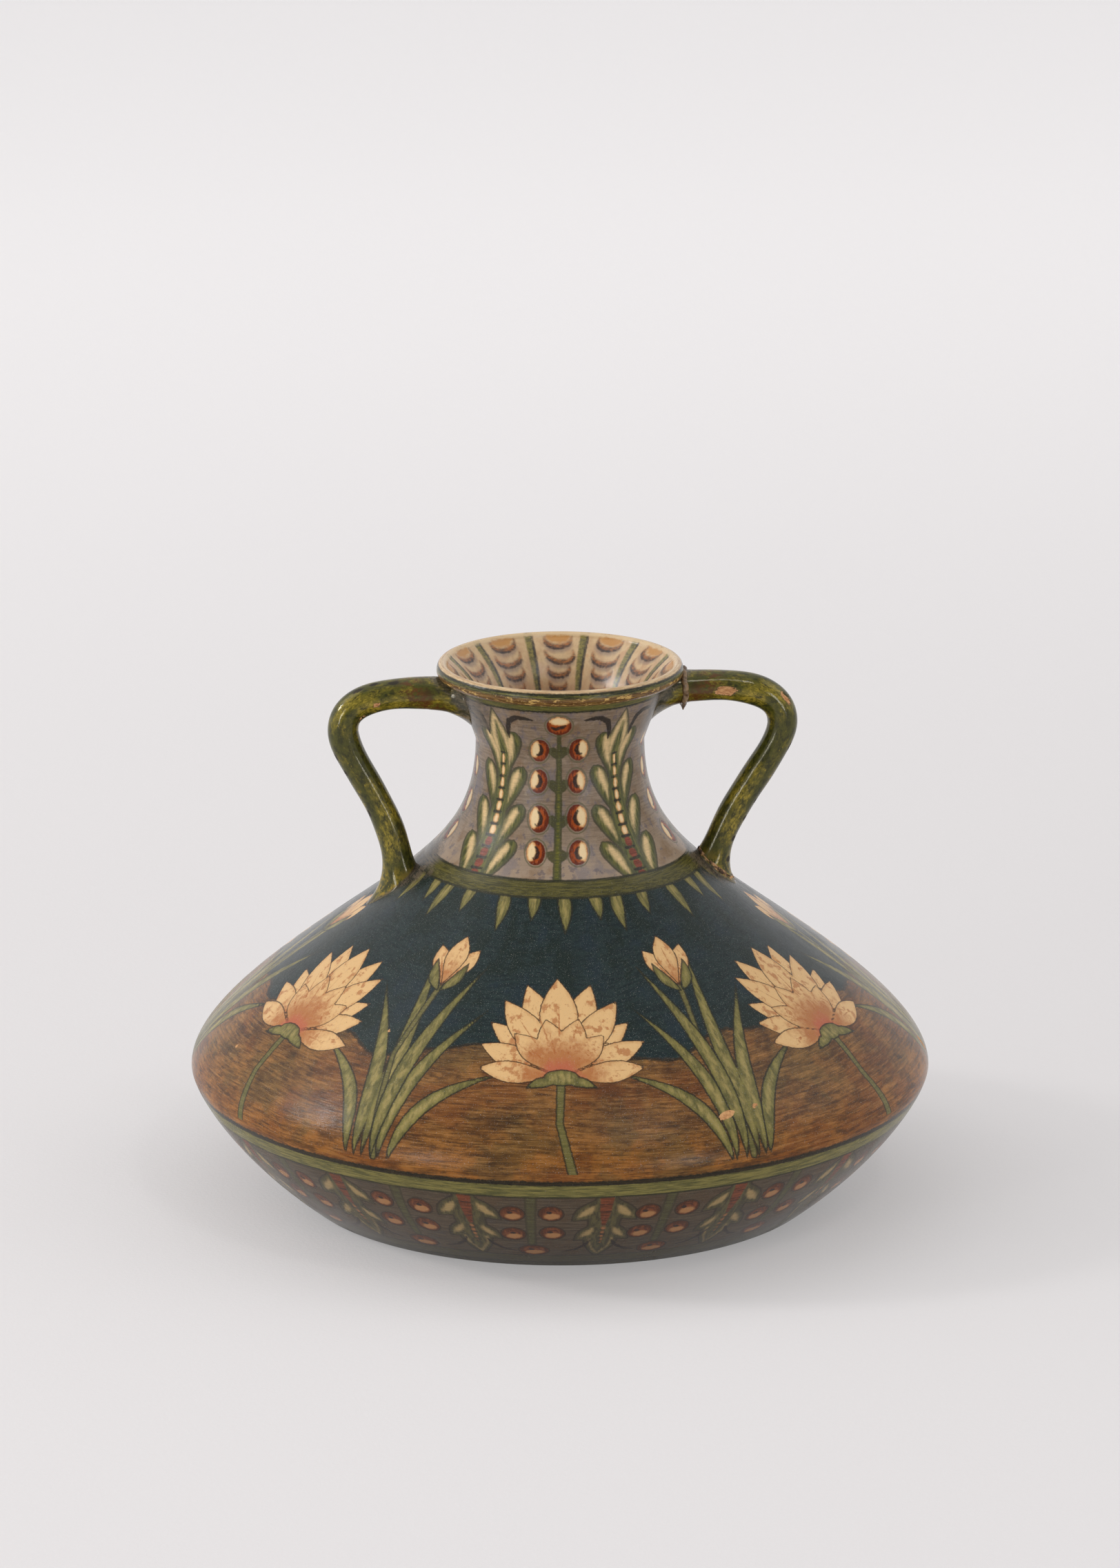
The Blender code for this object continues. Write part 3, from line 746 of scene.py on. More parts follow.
@dataclass
class MouthPainting(Painting):
    """Twelve stripes down the inside of the mouth, with crescents between them."""

    stripes: int = 12
    back_stripe: float = 133.5
    crescents: tuple[tuple[float, float], ...] = ((0.2, 4.9), (5.6, 5.2), (11.2, 3.9), (16.4, 3.0))

    def paint(self) -> None:
        """Lay stripes and crescents down from the crest, which the arcs reach over the lip."""
        lip = LIP_ARC
        step = 360 / self.stripes
        for k in range(self.stripes):
            angle = -(self.back_stripe + step * k)
            pen = self.canvas.pen(angle, 12, lip - 42, lip + 4)
            pen.lay(Paint.LEAF, pen.stroke((0.3, lip + 2.2, 1.3), (0.3, lip - 9, 1.05),
                                           (0, lip - 24, 0.7), (0, lip - 38, 0.5)))
            pen.lay(Paint.INK, pen.stroke((-1.0, lip + 2.2, 0.3), (-0.75, lip - 9, 0.42),
                                          (-0.45, lip - 24, 0.3)))
            pen = self.canvas.pen(angle - step / 2, 12, lip - 42, lip + 4)
            for row, (drop, size) in enumerate(self.crescents):
                turn = self.slip(0.12)
                self.crescent(pen, (self.slip(0.35), lip - drop), size, turn, row == 0)
            pen.lay(Paint.RED, pen.stroke((self.slip(2), lip + 2.0, 0.9),
                                          (self.slip(2), lip + 2.4, 0.5)))

    def crescent(self, pen: Pen, centre: Point, size: float, turn: float, filled: bool) -> None:
        """A cup-shaped brush mark: brown inside, blue-black along its lower edge.

        Args:
            pen: Pen at the motif.
            centre: Its middle, as (right, arc).
            size: Half its width, about.
            turn: How far it is turned, in radians.
            filled: Whether its cup is filled with ochre.
        """
        bows = ((-1.7, 0.2), (-1.25, 0.5), (-0.8, 0.75), (-0.3, 0.9), (0.3, 0.95), (0.8, 0.8),
                (1.25, 0.55), (1.7, 0.25))
        arc = [(centre[0] + size * 0.92 * math.sin(bow + turn), centre[1] - size * 0.74 * math.cos(bow), wide)
               for bow, wide in bows]
        pen.lay(Paint.BERRY, pen.stroke(*arc))
        edge = [(u * 1.04, v - 0.75, w * 0.38) for u, v, w in arc[1:-1]]
        pen.lay(Paint.INK, pen.stroke(*edge))
        pen.lay(Paint.CREAM, pen.stroke(*[(u, v - 1.5, w * 0.9) for u, v, w in arc[1:-1]]))
        if filled:
            pen.lay(Paint.GOLD, pen.oval((centre[0], centre[1] + 0.6), size * 0.8, size * 0.55))


# ---------------------------------------------------------------- materials


class Signal:
    """A number that a node tree works out at each point of a surface."""

    def __init__(self, graph: Graph, socket: Socket) -> None:
        """Hold an output of a node of the graph."""
        self.graph = graph
        self.socket = socket

    def __add__(self, other: Number) -> Signal:
        """Sum."""
        return self.graph.math("ADD", self, other)

    def __sub__(self, other: Number) -> Signal:
        """Difference."""
        return self.graph.math("SUBTRACT", self, other)

    def __mul__(self, other: Number) -> Signal:
        """Product."""
        return self.graph.math("MULTIPLY", self, other)

    def at_most(self, other: Number) -> Signal:
        """The smaller of two."""
        return self.graph.math("MINIMUM", self, other)

    def at_least(self, other: Number) -> Signal:
        """The larger of two."""
        return self.graph.math("MAXIMUM", self, other)

    def size(self) -> Signal:
        """Without its sign."""
        return self.graph.math("ABSOLUTE", self)

    def rise(self, low: float, high: float, bottom: float = 0.0, top: float = 1.0) -> Signal:
        """Smooth step from bottom to top while this goes from low to high, in either direction."""
        limits = (low, high, bottom, top)
        return self.graph.signal("ShaderNodeMapRange", self, *limits, interpolation_type="SMOOTHSTEP")


Number = Union[Signal, float]


class Graph:
    """The node tree of one material, or another tree that it is given."""

    def __init__(self, name: str, tree: bpy.types.NodeTree | None = None) -> None:
        """Start a material with its shader, or take the tree.

        Args:
            name: Name of the material.
            tree: The tree to work in, where there is one already.
        """
        if tree is not None:
            self.tree = tree
            return
        self.material = bpy.data.materials.new(name)
        self.material.use_nodes = True
        self.tree = self.material.node_tree
        self.tree.nodes.clear()
        self.shader = self.add("ShaderNodeBsdfPrincipled")
        output = self.add("ShaderNodeOutputMaterial")
        self.tree.links.new(self.shader.outputs["BSDF"], output.inputs["Surface"])

    def add(self, kind: str, *values: object, **settings: object) -> bpy.types.Node:
        """A new node.

        Args:
            kind: Kind of node.
            values: What its first inputs get.
            settings: Its settings by name.

        Returns:
            The node.
        """
        node = self.tree.nodes.new(kind)
        for name, setting in settings.items():
            setattr(node, name, setting)
        for socket, value in zip(node.inputs, values):
            self.feed(socket, value)
        return node

    def signal(self, kind: str, *values: object, **settings: object) -> Signal:
        """The first output of a new node."""
        return Signal(self, self.add(kind, *values, **settings).outputs[0])

    def feed(self, target: Socket, value: object) -> None:
        """Link a socket to a signal or another socket, or set its value.

        Args:
            target: The input.
            value: A signal, a socket, a colour or a number.
        """
        if isinstance(value, Signal):
            self.tree.links.new(value.socket, target)
        elif isinstance(value, Socket):
            self.tree.links.new(value, target)
        elif isinstance(value, tuple) and len(value) == 3 and len(target.default_value) == 4:
            target.default_value = (*linear(value), 1.0)
        else:
            target.default_value = value

    def math(self, operation: str, *values: Number) -> Signal:
        """A sum of signals and numbers."""
        return self.signal("ShaderNodeMath", *values, operation=operation)

    def attribute(self, name: str) -> Socket:
        """The vector attribute of a name."""
        return self.add("ShaderNodeAttribute", attribute_name=name).outputs["Vector"]

    def parts(self, vector: Socket) -> list[Signal]:
        """The three numbers of a vector."""
        return [Signal(self, socket) for socket in self.add("ShaderNodeSeparateXYZ", vector).outputs]

    def read(self, name: str) -> list[Signal]:
        """The three numbers of a vector attribute."""
        return self.parts(self.attribute(name))

    def position(self) -> Socket:
        """Place on the piece, in metres."""
        return self.add("ShaderNodeTexCoord").outputs["Object"]

    def noise(self, vector: Socket, scale: float | Triple, detail: float = 2.0, roughness: float = 0.5,
              offset: Triple = (0.0, 0.0, 0.0)) -> Signal:
        """Soft noise, about 0.5 on average.

        Args:
            vector: Place that it is read at.
            scale: Waves to a unit of length, the same along all axes or one for each.
            detail: How many finer layers it has.
            roughness: How strong the finer layers are.
            offset: How far the place is moved, where each axis has its own scale.

        Returns:
            The noise, from 0 to 1.
        """
        if isinstance(scale, tuple):
            stretch = self.add("ShaderNodeMapping", vector, offset, (0.0, 0.0, 0.0), scale)
            vector, scale = stretch.outputs["Vector"], 1.0
        node = self.add("ShaderNodeTexNoise", vector)
        for name, value in (("Scale", scale), ("Detail", detail), ("Roughness", roughness)):
            node.inputs[name].default_value = value
        return Signal(self, node.outputs["Fac"])

    def blend(self, amount: Number, under: object, over: object) -> Socket:
        """One colour laid over another by an amount from 0 to 1.

        Args:
            amount: How much of the upper one.
            under: The lower colour.
            over: The upper colour.

        Returns:
            The blend.
        """
        node = self.add("ShaderNodeMix", amount, data_type="RGBA", clamp_factor=True)
        self.feed(node.inputs[6], under)
        self.feed(node.inputs[7], over)
        return node.outputs[2]

    def coats(self, colour: object, *coats: tuple[Number, object]) -> Socket:
        """Colours laid one over another.

        Args:
            colour: The lowest colour.
            coats: Amount and colour of each coat, the lowest first.

        Returns:
            The colour of them all.
        """
        for amount, over in coats:
            colour = self.blend(amount, colour, over)
        return colour

    def finish(self, colour: object, roughness: Number, height: Signal | None = None,
               depth: float = 0.1, **values: object) -> Material:
        """Connect the shader.

        Args:
            colour: Base colour, a socket or a colour.
            roughness: Roughness of the surface.
            height: Relief, where 1 stands for the depth.
            depth: Depth of the relief in millimetres.
            values: Other even inputs of the shader, with _ for a space.

        Returns:
            The material.
        """
        self.feed(self.shader.inputs["Base Color"], colour)
        self.feed(self.shader.inputs["Roughness"], roughness)
        for name, value in values.items():
            self.shader.inputs[name.replace("_", " ")].default_value = value
        if height is not None:
            bump = self.add("ShaderNodeBump")
            bump.inputs["Distance"].default_value = depth * MM
            self.feed(bump.inputs["Height"], height)
            self.feed(self.shader.inputs["Normal"], bump.outputs["Normal"])
        return self.material


@dataclass(frozen=True)
class Band:
    """A painted ring round the vase, between two arcs, with lines at its edges."""

    low: float
    high: float
    colour: Colour
    mottle: Colour
    line: Colour | None = None
    line_width: float = 0.6
    blur: float = 0.35
    wander: float = 0.6
    flecks: Colour | None = None


@dataclass(frozen=True)
class Palette:
    """Colours of the painted motifs on one section of the vase."""

    stem: Colour = (116, 112, 44)
    stem_edge: Colour = (58, 60, 28)
    leaf: Colour = (110, 108, 54)
    leaf_dark: Colour = (68, 72, 38)
    leaf_edge: Colour = (58, 56, 38)
    heart: Colour = (226, 194, 142)
    berry: Colour = (160, 72, 22)
    berry_dark: Colour = (96, 36, 12)
    halo: Colour = (92, 88, 62)
    cream: Colour = (236, 208, 160)
    cream_shade: Colour = (216, 158, 98)
    red: Colour = (142, 66, 42)
    gold: Colour = (176, 118, 58)
    ink: Colour = (36, 28, 22)
    halo_gap: float = 0.5
    softness: float = 1.45


@dataclass(frozen=True)
class Wall:
    """A painted wall as its material reads it, with the grounds that are brushed on it.

    The wrap is the place on a drum of even girth, as (across, back, arc), in millimetres, wander is
    the unevenness of painted edges, and hatch the noise of level brush hairs.
    """

    graph: Graph
    wrap: Socket
    arc: Signal
    fine: Signal
    wander: Signal
    hatch: Signal

    @classmethod
    def of(cls, graph: Graph) -> Wall:
        """Read the wall in the graph of a material.

        Args:
            graph: The graph.

        Returns:
            The wall.
        """
        wrap = graph.attribute("wrap")
        fine = graph.noise(wrap, 0.9, 3.0, 0.6)
        hatch = graph.noise(wrap, (0.16, 0.16, 2.2), 3.0, 0.65)
        return cls(graph, wrap, graph.parts(wrap)[2], fine, (fine - 0.5) * 0.7, hatch)

    def strokes(self, sway: float = 24.0) -> Socket:
        """Place on the wall, pushed up and down in slow waves, so that level strokes wander.

        Args:
            sway: Height of the waves in millimetres.

        Returns:
            The pushed place.
        """
        graph = self.graph
        swell = graph.noise(self.wrap, 0.013, 2.0, 0.5)
        push = graph.signal("ShaderNodeCombineXYZ", 0.0, 0.0, (swell - 0.5) * sway)
        return graph.add("ShaderNodeVectorMath", self.wrap, push, operation="ADD").outputs["Vector"]

    def neck_ground(self) -> Socket:
        """Grey lilac, brushed level, paler low down, with bluish and brownish clouds.

        Returns:
            The colour.
        """
        graph = self.graph
        brush = graph.noise(self.wrap, (0.10, 0.10, 1.7), 4.0, 0.7)
        cloud = graph.noise(self.wrap, 0.11, 3.0, 0.6)
        blot = graph.noise(self.wrap, 0.34, 3.0, 0.65)
        return graph.coats(
            (112, 95, 77), (brush.rise(0.30, 0.70), (146, 126, 106)),
            (self.arc.rise(186.0, 164.0) * 0.65, (174, 152, 130)),
            (cloud.rise(0.50, 0.68) * 0.55, (122, 92, 62)),
            (cloud.rise(0.47, 0.34) * 0.5, (106, 102, 112)),
            (brush.rise(0.60, 0.72) * 0.5, (74, 62, 50)),
            (blot.rise(0.56, 0.66) * 0.55, (84, 80, 92)),
            (blot.rise(0.42, 0.32) * 0.4, (158, 138, 116)))

    def base_ground(self) -> Socket:
        """Grey mauve, brushed level.

        Returns:
            The colour.
        """
        graph = self.graph
        brush = graph.noise(self.wrap, (0.10, 0.10, 1.5), 4.0, 0.7)
        cloud = graph.noise(self.wrap, 0.10, 3.0, 0.6)
        return graph.coats(
            (68, 57, 45), (brush.rise(0.34, 0.66), (94, 80, 63)),
            (cloud.rise(0.5, 0.66) * 0.5, (86, 66, 47)),
            (cloud.rise(0.44, 0.32) * 0.4, (66, 63, 61)), (self.arc.rise(51.5, 52.5), self.earth()))

    def earth(self) -> Socket:
        """Brown brushed nearly level, ochre low down, with russet patches and pencil-thin hatching.

        Returns:
            The colour.
        """
        graph = self.graph
        flow = self.strokes(9.0)
        cloud = graph.noise(flow, (0.06, 0.06, 0.10), 5.0, 0.7)
        blot = graph.noise(flow, (0.16, 0.16, 0.42), 4.0, 0.7, (7.0, 3.0, 1.0))
        hatch = graph.noise(flow, (0.11, 0.11, 1.7), 3.0, 0.7)
        stroke = graph.noise(flow, (0.10, 0.10, 0.75), 4.0, 0.72)
        dash = graph.noise(flow, (0.12, 0.12, 1.5), 2.0, 0.6, (4.0, 2.0, 9.0))
        russet = graph.noise(self.wrap, 0.040, 4.0, 0.62)
        grain = graph.noise(self.wrap, 1.3, 2.0, 0.6)
        colour = graph.coats(
            (88, 57, 29), (cloud.rise(0.36, 0.60), (145, 100, 51)),
            (self.arc.rise(74.0, 55.0) * cloud.rise(0.3, 0.52) * 0.9, (152, 96, 39)),
            (russet.rise(0.50, 0.58) * 0.6, (116, 63, 25)),
            (russet.rise(0.46, 0.38) * 0.6, (106, 83, 45)),
            (blot.rise(0.48, 0.66) * 0.6, (68, 43, 22)),
            (stroke.rise(0.48, 0.66) * 0.45, (65, 41, 22)),
            (stroke.rise(0.48, 0.32) * 0.35, (172, 122, 65)),
            (hatch.rise(0.50, 0.62) * 0.45, (57, 37, 20)),
            (hatch.rise(0.46, 0.34) * 0.25, (186, 139, 84)),
            (grain.rise(0.58, 0.70) * 0.3, (55, 37, 22)))
        dark = dash + (blot - 0.5) * 0.35
        return graph.blend(dark.rise(0.58, 0.70) * 0.42, colour, (44, 34, 24))

    def shoulder_ground(self) -> Socket:
        """Earth low down, and dark teal above a wavy bank.

        Returns:
            The colour.
        """
        graph = self.graph
        swell = graph.noise(self.wrap, (0.024, 0.024, 0.01), 1.0, 0.5)
        ragged = graph.noise(self.wrap, (0.35, 0.35, 0.9), 3.0, 0.7)
        patch = graph.noise(self.wrap, 0.060, 4.0, 0.6)
        brush = graph.noise(self.strokes(), (0.12, 0.12, 0.9), 4.0, 0.7)
        glint_and_speck = graph.noise(self.wrap, 1.5, 2.0, 0.6)
        teal = graph.coats(
            (19, 33, 35), (brush.rise(0.36, 0.64), (33, 48, 47)),
            (patch.rise(0.50, 0.60) * 0.7, (18, 32, 25)),
            (patch.rise(0.46, 0.36) * 0.6, (28, 43, 52)),
            # Pale dots here are painted glints on the glaze; the dark dots are the glaze's own.
            (glint_and_speck.rise(0.62, 0.72) * 0.4, (92, 108, 106)),
            (glint_and_speck.rise(0.40, 0.30) * 0.5, (18, 30, 33)))
        bank = self.arc + (swell - 0.5) * 30.0 + (ragged - 0.5) * 1.6
        return graph.coats(
            self.earth(), (bank.rise(90.0, 97.6) * ragged.rise(0.35, 0.6) * 0.6, (64, 46, 30)),
            ((bank - 98.0).size().rise(1.0, 0.2) * 0.9, (34, 30, 22)), (bank.rise(98.0, 98.8), teal))


BISCUIT = (214, 164, 114)
BISCUIT_DARK = (174, 118, 76)


@dataclass(frozen=True)
class BorderGlaze:
    """Slip painting under a clear gloss glaze, with a border's stems, leaves and berries."""

    name: str
    ground: Callable[[Wall], Socket]
    bands: tuple[Band, ...]
    palette: Palette
    gloss: float = 0.16
    # Strength of the pale dots that are painted glints on the glaze.
    painted_glint: float = 0.35
    attributes: tuple[str, ...] = BORDER_PAINT
    slip_width: float = 0.0
    shine: float = 0.27
    root_arc: float = 0.0

    def material(self) -> Material:
        """Ground, motifs and bands, in the order that a painter lays them, then losses.

        Returns:
            The material.
        """
        graph = Graph(self.name)
        wall = Wall.of(graph)
        colour = self.motifs(wall, self.ground(wall))
        for band in self.bands:
            colour = self.ring(wall, colour, band)
        if self.slip_width:
            colour = self.slip(wall, colour, HANDLE_FOOT_ARC, self.slip_width)
        # Round the roots the grey slip spreads over the neck's sides, partly as painted shade there.
        if self.root_arc:
            colour = self.slip(wall, colour, self.root_arc, ROOT_SLIP_AND_SHADE_WIDTH)
        fine, grit = wall.fine, graph.noise(wall.wrap, 3.4, 2.0, 0.65)
        # Pale dots are painted glints on the glaze; dark dots are grit in it.
        colour = graph.coats(
            colour, (grit.rise(0.62, 0.74) * self.painted_glint, (190, 186, 178)),
            (grit.rise(0.38, 0.27) * 0.35, (34, 30, 26)))
        bare = (graph.read("paint_mark")[2] + wall.wander * 1.2).rise(0.12, -0.12)
        clay = graph.blend(fine.rise(0.35, 0.7), BISCUIT, BISCUIT_DARK)
        colour = graph.blend(bare, colour, clay)
        dull = graph.noise(wall.wrap, 0.05, 3.0, 0.6)
        rough = bare.rise(0.0, 1.0, self.gloss, 0.75) + (fine - 0.5) * 0.12
        rough = rough + dull.rise(0.45, 0.65) * 0.10
        relief = wall.hatch * 0.30 + fine * 0.30 + grit * 0.25
        return graph.finish(colour, rough, relief, 0.16, Specular_IOR_Level=self.shine, IOR=1.5)

    def slip(self, wall: Wall, colour: object, middle: float, width: float) -> Socket:
        """Grey slip wiped over the painting round an end of each handle; at the roots, partly painted shade.

        Args:
            wall: The wall.
            colour: Colour so far.
            middle: Arc of the handle's end.
            width: Half the width of the slip.

        Returns:
            The colour.
        """
        graph, wrap, hatch = wall.graph, wall.wrap, wall.hatch
        cloud = graph.noise(wrap, (0.12, 0.12, 0.20), 4.0, 0.7)
        side = graph.parts(wrap)[1].size() * (1.0 / width)
        down = (wall.arc - middle) * (1.0 / SLIP_HEIGHT)
        spread = graph.math("SQRT", side * side + down * down) + (cloud - 0.5) * 1.1
        tone = graph.blend((hatch + cloud).rise(0.90, 1.12), (98, 86, 72), (50, 48, 42))
        return graph.blend(spread.rise(1.12, 0.72) * 0.9, colour, tone)

    def ring(self, wall: Wall, colour: object, band: Band) -> Socket:
        """Lay one band, its flecks and the lines at its edges.

        Args:
            wall: The wall.
            colour: Colour so far.
            band: The band.

        Returns:
            The colour.
        """
        graph, hatch = wall.graph, wall.hatch
        middle, half = (band.low + band.high) / 2, (band.high - band.low) / 2
        edge = (wall.arc - middle).size() - half + wall.wander * band.wander
        fill = graph.blend(hatch.rise(0.36, 0.64), band.colour, band.mottle)
        if band.flecks is not None:
            fleck = graph.noise(wall.wrap, (0.35, 0.35, 0.9), 3.0, 0.7)
            fill = graph.blend(fleck.rise(0.53, 0.63), fill, band.flecks)
        colour = graph.blend(edge.rise(band.blur, -band.blur), colour, fill)
        if band.line is not None:
            line = edge.size() - band.line_width / 2
            colour = graph.blend(line.rise(0.3, -0.2) * hatch.rise(0.25, 0.5, 0.45, 0.95), colour, band.line)
        return colour

    def motifs(self, wall: Wall, colour: object) -> Socket:
        """Lay stems, leaves, berries and ink over the ground.

        Args:
            wall: The wall.
            colour: Colour so far.

        Returns:
            The colour.
        """
        graph, wander, hatch = wall.graph, wall.wander, wall.hatch
        tone = self.palette
        soft = tone.softness
        stem, leaf, heart = graph.read("paint_green")
        berry, cream, red = graph.read("paint_fruit")
        ink, gold, _ = graph.read("paint_mark")
        brush = graph.noise(wall.wrap, (0.9, 0.9, 0.22), 3.0, 0.6)
        streak = hatch.rise(0.32, 0.68)
        green = graph.blend(brush.rise(0.38, 0.62), tone.leaf, tone.leaf_dark)
        edge = stem + wander * 0.9
        colour = graph.coats(
            colour, (edge.rise(0.4, -0.1) * 0.85, tone.stem_edge),
            (edge.rise(-0.1, -0.8 * soft), graph.blend(streak, tone.stem, tone.leaf_dark)))
        edge = leaf + wander * 0.8
        line = (edge - 0.15).size().rise(0.45, 0.1) * 0.8
        colour = graph.coats(
            colour, (edge.rise(0.25, -0.15) * 0.85, tone.leaf_dark), (edge.rise(0.0, -1.1 * soft), green),
            (line, tone.leaf_edge))
        edge = heart + wander + (brush - 0.5) * 1.2
        worn = edge.rise(0.45, -0.9 * soft) * streak.rise(1.0, 0.0, 0.8, 1.0)
        colour = graph.blend(worn, colour, tone.heart)
        edge = berry + wander * 0.7
        halo = (edge - tone.halo_gap).size().rise(0.42, 0.08)
        colour = graph.blend(halo * 0.75, colour, tone.halo)
        fruit = graph.blend((brush + (edge + 1.2) * 0.22).rise(0.35, 0.65), tone.berry, tone.berry_dark)
        colour = graph.blend(edge.rise(0.15, -0.3), colour, fruit)
        edge = cream + wander * 1.2 + (brush - 0.5) * 0.8
        pale = graph.blend(edge.rise(0.0, -0.7 * soft), tone.cream_shade, tone.cream)
        colour = graph.coats(
            colour, (edge.rise(0.25, -0.35), pale), ((gold + wander).rise(0.3, -0.25) * 0.9, tone.gold))
        clay = graph.blend(streak, tone.red, tone.berry_dark)
        return graph.coats(
            colour, ((red + wander).rise(0.3, -0.35), clay),
            ((ink + wander * 1.2).rise(0.3, -0.2) * 0.94, tone.ink))


@dataclass(frozen=True)
class FriezeGlaze(BorderGlaze):
    """Slip painting under gloss glaze, with the frieze's leaves and flowers."""

    petal: Colour = (226, 184, 128)
    petal_edge: Colour = (70, 46, 26)
    blush: Colour = (170, 98, 48)
    rose: Colour = (186, 96, 70)
    attributes: tuple[str, ...] = FRIEZE_PAINT

    def blade(self, wall: Wall, colour: object, edge: Signal, brush: Signal) -> Socket:
        """A strap leaf: dark edge, olive body and a paler middle.

        Args:
            wall: The wall.
            colour: Colour so far.
            edge: Distance to its edge.
            brush: Noise along the leaf.

        Returns:
            The colour.
        """
        graph, hatch, tone = wall.graph, wall.hatch, self.palette
        colour = graph.blend(edge.rise(0.30, -0.05) * 0.9, colour, tone.leaf_edge)
        body = graph.coats(
            tone.leaf, (brush.rise(0.34, 0.66), tone.leaf_dark),
            (hatch.rise(0.4, 0.7) * 0.25, tone.leaf_dark))
        return graph.coats(
            colour, (edge.rise(-0.15, -0.7), body),
            (edge.rise(-0.7, -2.2) * brush.rise(0.70, 0.34) * 0.7, tone.heart))

    def motifs(self, wall: Wall, colour: object) -> Socket:
        """Lay leaves and stems, then the petals rank by rank, then the calyx and ink.

        Args:
            wall: The wall.
            colour: Colour so far.

        Returns:
            The colour.
        """
        graph, wander, hatch, tone = wall.graph, wall.wander, wall.hatch, self.palette
        stem, leaf, _ = graph.read("paint_green")
        front_leaf, back, middle = graph.read("paint_frieze")
        front, blush, calyx = graph.read("paint_bloom")
        ink, gold, _ = graph.read("paint_mark")
        brush = graph.noise(wall.wrap, (0.55, 0.55, 0.20), 4.0, 0.65)
        patch = graph.noise(wall.wrap, 0.22, 4.0, 0.65)
        colour = self.blade(wall, colour, leaf + wander, brush)
        edge = stem + wander
        colour = graph.blend(edge.rise(0.3, -0.1) * 0.9, colour, tone.stem_edge)
        stalk = graph.blend(hatch.rise(0.35, 0.65), tone.stem, tone.leaf_dark)
        colour = graph.blend(edge.rise(-0.1, -0.7), colour, stalk)
        colour = self.blade(wall, colour, front_leaf + wander, brush)
        warm = blush + (patch - 0.5) * 26.0
        for rank in (back, middle, front):
            edge = rank + wander * 0.9
            body = graph.coats(
                self.petal, (warm.rise(5.0, -5.0) * 0.85, self.blush),
                (patch.rise(0.53, 0.63) * 0.7, self.blush),
                (edge.rise(-1.6, -0.4) * brush.rise(0.35, 0.6) * 0.55, tone.cream_shade))
            colour = graph.coats(
                colour, (edge.rise(0.32, 0.05) * 0.92, self.petal_edge), (edge.rise(-0.02, -0.35), body))
        inside = back.at_most(middle).at_most(front)
        vein = (gold + wander).rise(0.2, -0.2) * inside.rise(0.1, -0.3) * 0.8
        colour = graph.blend(vein, colour, self.blush)
        rose = (blush + 7.0 + (patch - 0.5) * 8.0).rise(2.0, -2.0) * inside.rise(0.1, -0.3) * 0.8
        colour = graph.blend(rose, colour, self.rose)
        colour = self.blade(wall, colour, calyx + wander, brush)
        return graph.blend((ink + wander).rise(0.25, -0.2) * 0.9, colour, tone.ink)


COLLAR = Band(157.7, 163.9, (98, 91, 44), (60, 58, 30), (42, 42, 26), 0.8)
EDGE_LINE = Band(51.5, 53.3, (32, 28, 20), (54, 44, 26), None, blur=0.4, wander=2.4)
EDGE_GREEN = Band(46.0, 51.8, (134, 124, 68), (84, 82, 46), (50, 48, 32), 0.7)


@dataclass(frozen=True)
class MouthGlaze:
    """Cream glaze inside the mouth, with olive stripes and brown crescents."""

    name: str = "mouth_glaze"

    def material(self) -> Material:
        """Cream clouded with pink and ochre, browner at the crest, then the paints.

        Returns:
            The material.
        """
        graph = Graph(self.name)
        wrap = graph.attribute("wrap")
        arc = graph.parts(wrap)[2]
        fine = graph.noise(wrap, 0.7, 3.0, 0.6)
        wander = (fine - 0.5) * 0.8
        brush = graph.noise(wrap, (0.5, 0.5, 1.2), 3.0, 0.65)
        cloud = graph.noise(wrap, 0.13, 3.0, 0.6)
        grain = graph.noise(wrap, 3.0, 2.0, 0.6)
        _, leaf, _ = graph.read("paint_green")
        berry, shade, touch = graph.read("paint_fruit")
        ink, gold, _ = graph.read("paint_mark")
        colour = graph.coats(
            (198, 162, 122), (cloud.rise(0.35, 0.65), (218, 190, 146)),
            (cloud.rise(0.52, 0.66) * 0.65, (190, 140, 98)),
            ((arc - LIP_ARC).rise(-10.0, -26.0) * 0.7, (178, 126, 86)),
            (grain.rise(0.58, 0.74) * 0.35, (150, 112, 84)),
            ((shade + wander).rise(0.9, -0.9) * 0.6, (118, 102, 98)),
            ((gold + wander + (brush - 0.5) * 3.0).rise(0.9, -0.9) * 0.8, (192, 132, 58)))
        tawny = graph.blend(brush.rise(0.38, 0.62), (160, 94, 42), (90, 51, 30))
        colour = graph.blend((berry + wander).rise(0.6, -0.6) * 0.9, colour, tawny)
        olive = graph.blend(brush.rise(0.38, 0.62), (132, 122, 58), (86, 84, 46))
        colour = graph.coats(
            colour, ((leaf + wander).rise(0.5, -0.4) * 0.92, olive),
            ((ink + wander).rise(0.4, -0.3) * 0.9, (46, 42, 42)),
            ((touch + wander + (brush - 0.5) * 4.0).rise(0.8, -0.8) * 0.8, (150, 92, 52)))
        rim = arc - LIP_ARC + (brush - 0.5) * 1.6
        colour = graph.blend(rim.rise(0.2, 1.2) * 0.85, colour, (222, 194, 152))
        worn = (rim - 1.9).rise(-0.2, 0.5) * brush.rise(0.56, 0.66)
        colour = graph.blend(worn * 0.75, colour, (120, 84, 56))
        return graph.finish(colour, fine.rise(0.2, 0.8, 0.05, 0.11), fine + grain * 0.4, 0.10)


@dataclass(frozen=True)
class PlainGlaze:
    """Even glaze of two close tones, for the surfaces that carry no painting."""

    name: str
    light: Colour
    dark: Colour
    gloss: float = 0.2
    scale: float = 60.0
    depth: float = 0.15

    def material(self) -> Material:
        """Two tones clouded into each other.

        Returns:
            The material.
        """
        graph = Graph(self.name)
        place = graph.position()
        cloud = graph.noise(place, self.scale, 4.0, 0.6)
        grain = graph.noise(place, self.scale * 18, 2.0, 0.6)
        colour = graph.coats(
            self.light, (cloud.rise(0.38, 0.62), self.dark), (grain.rise(0.6, 0.8) * 0.5, self.dark))
        return graph.finish(colour, self.gloss, grain, self.depth)


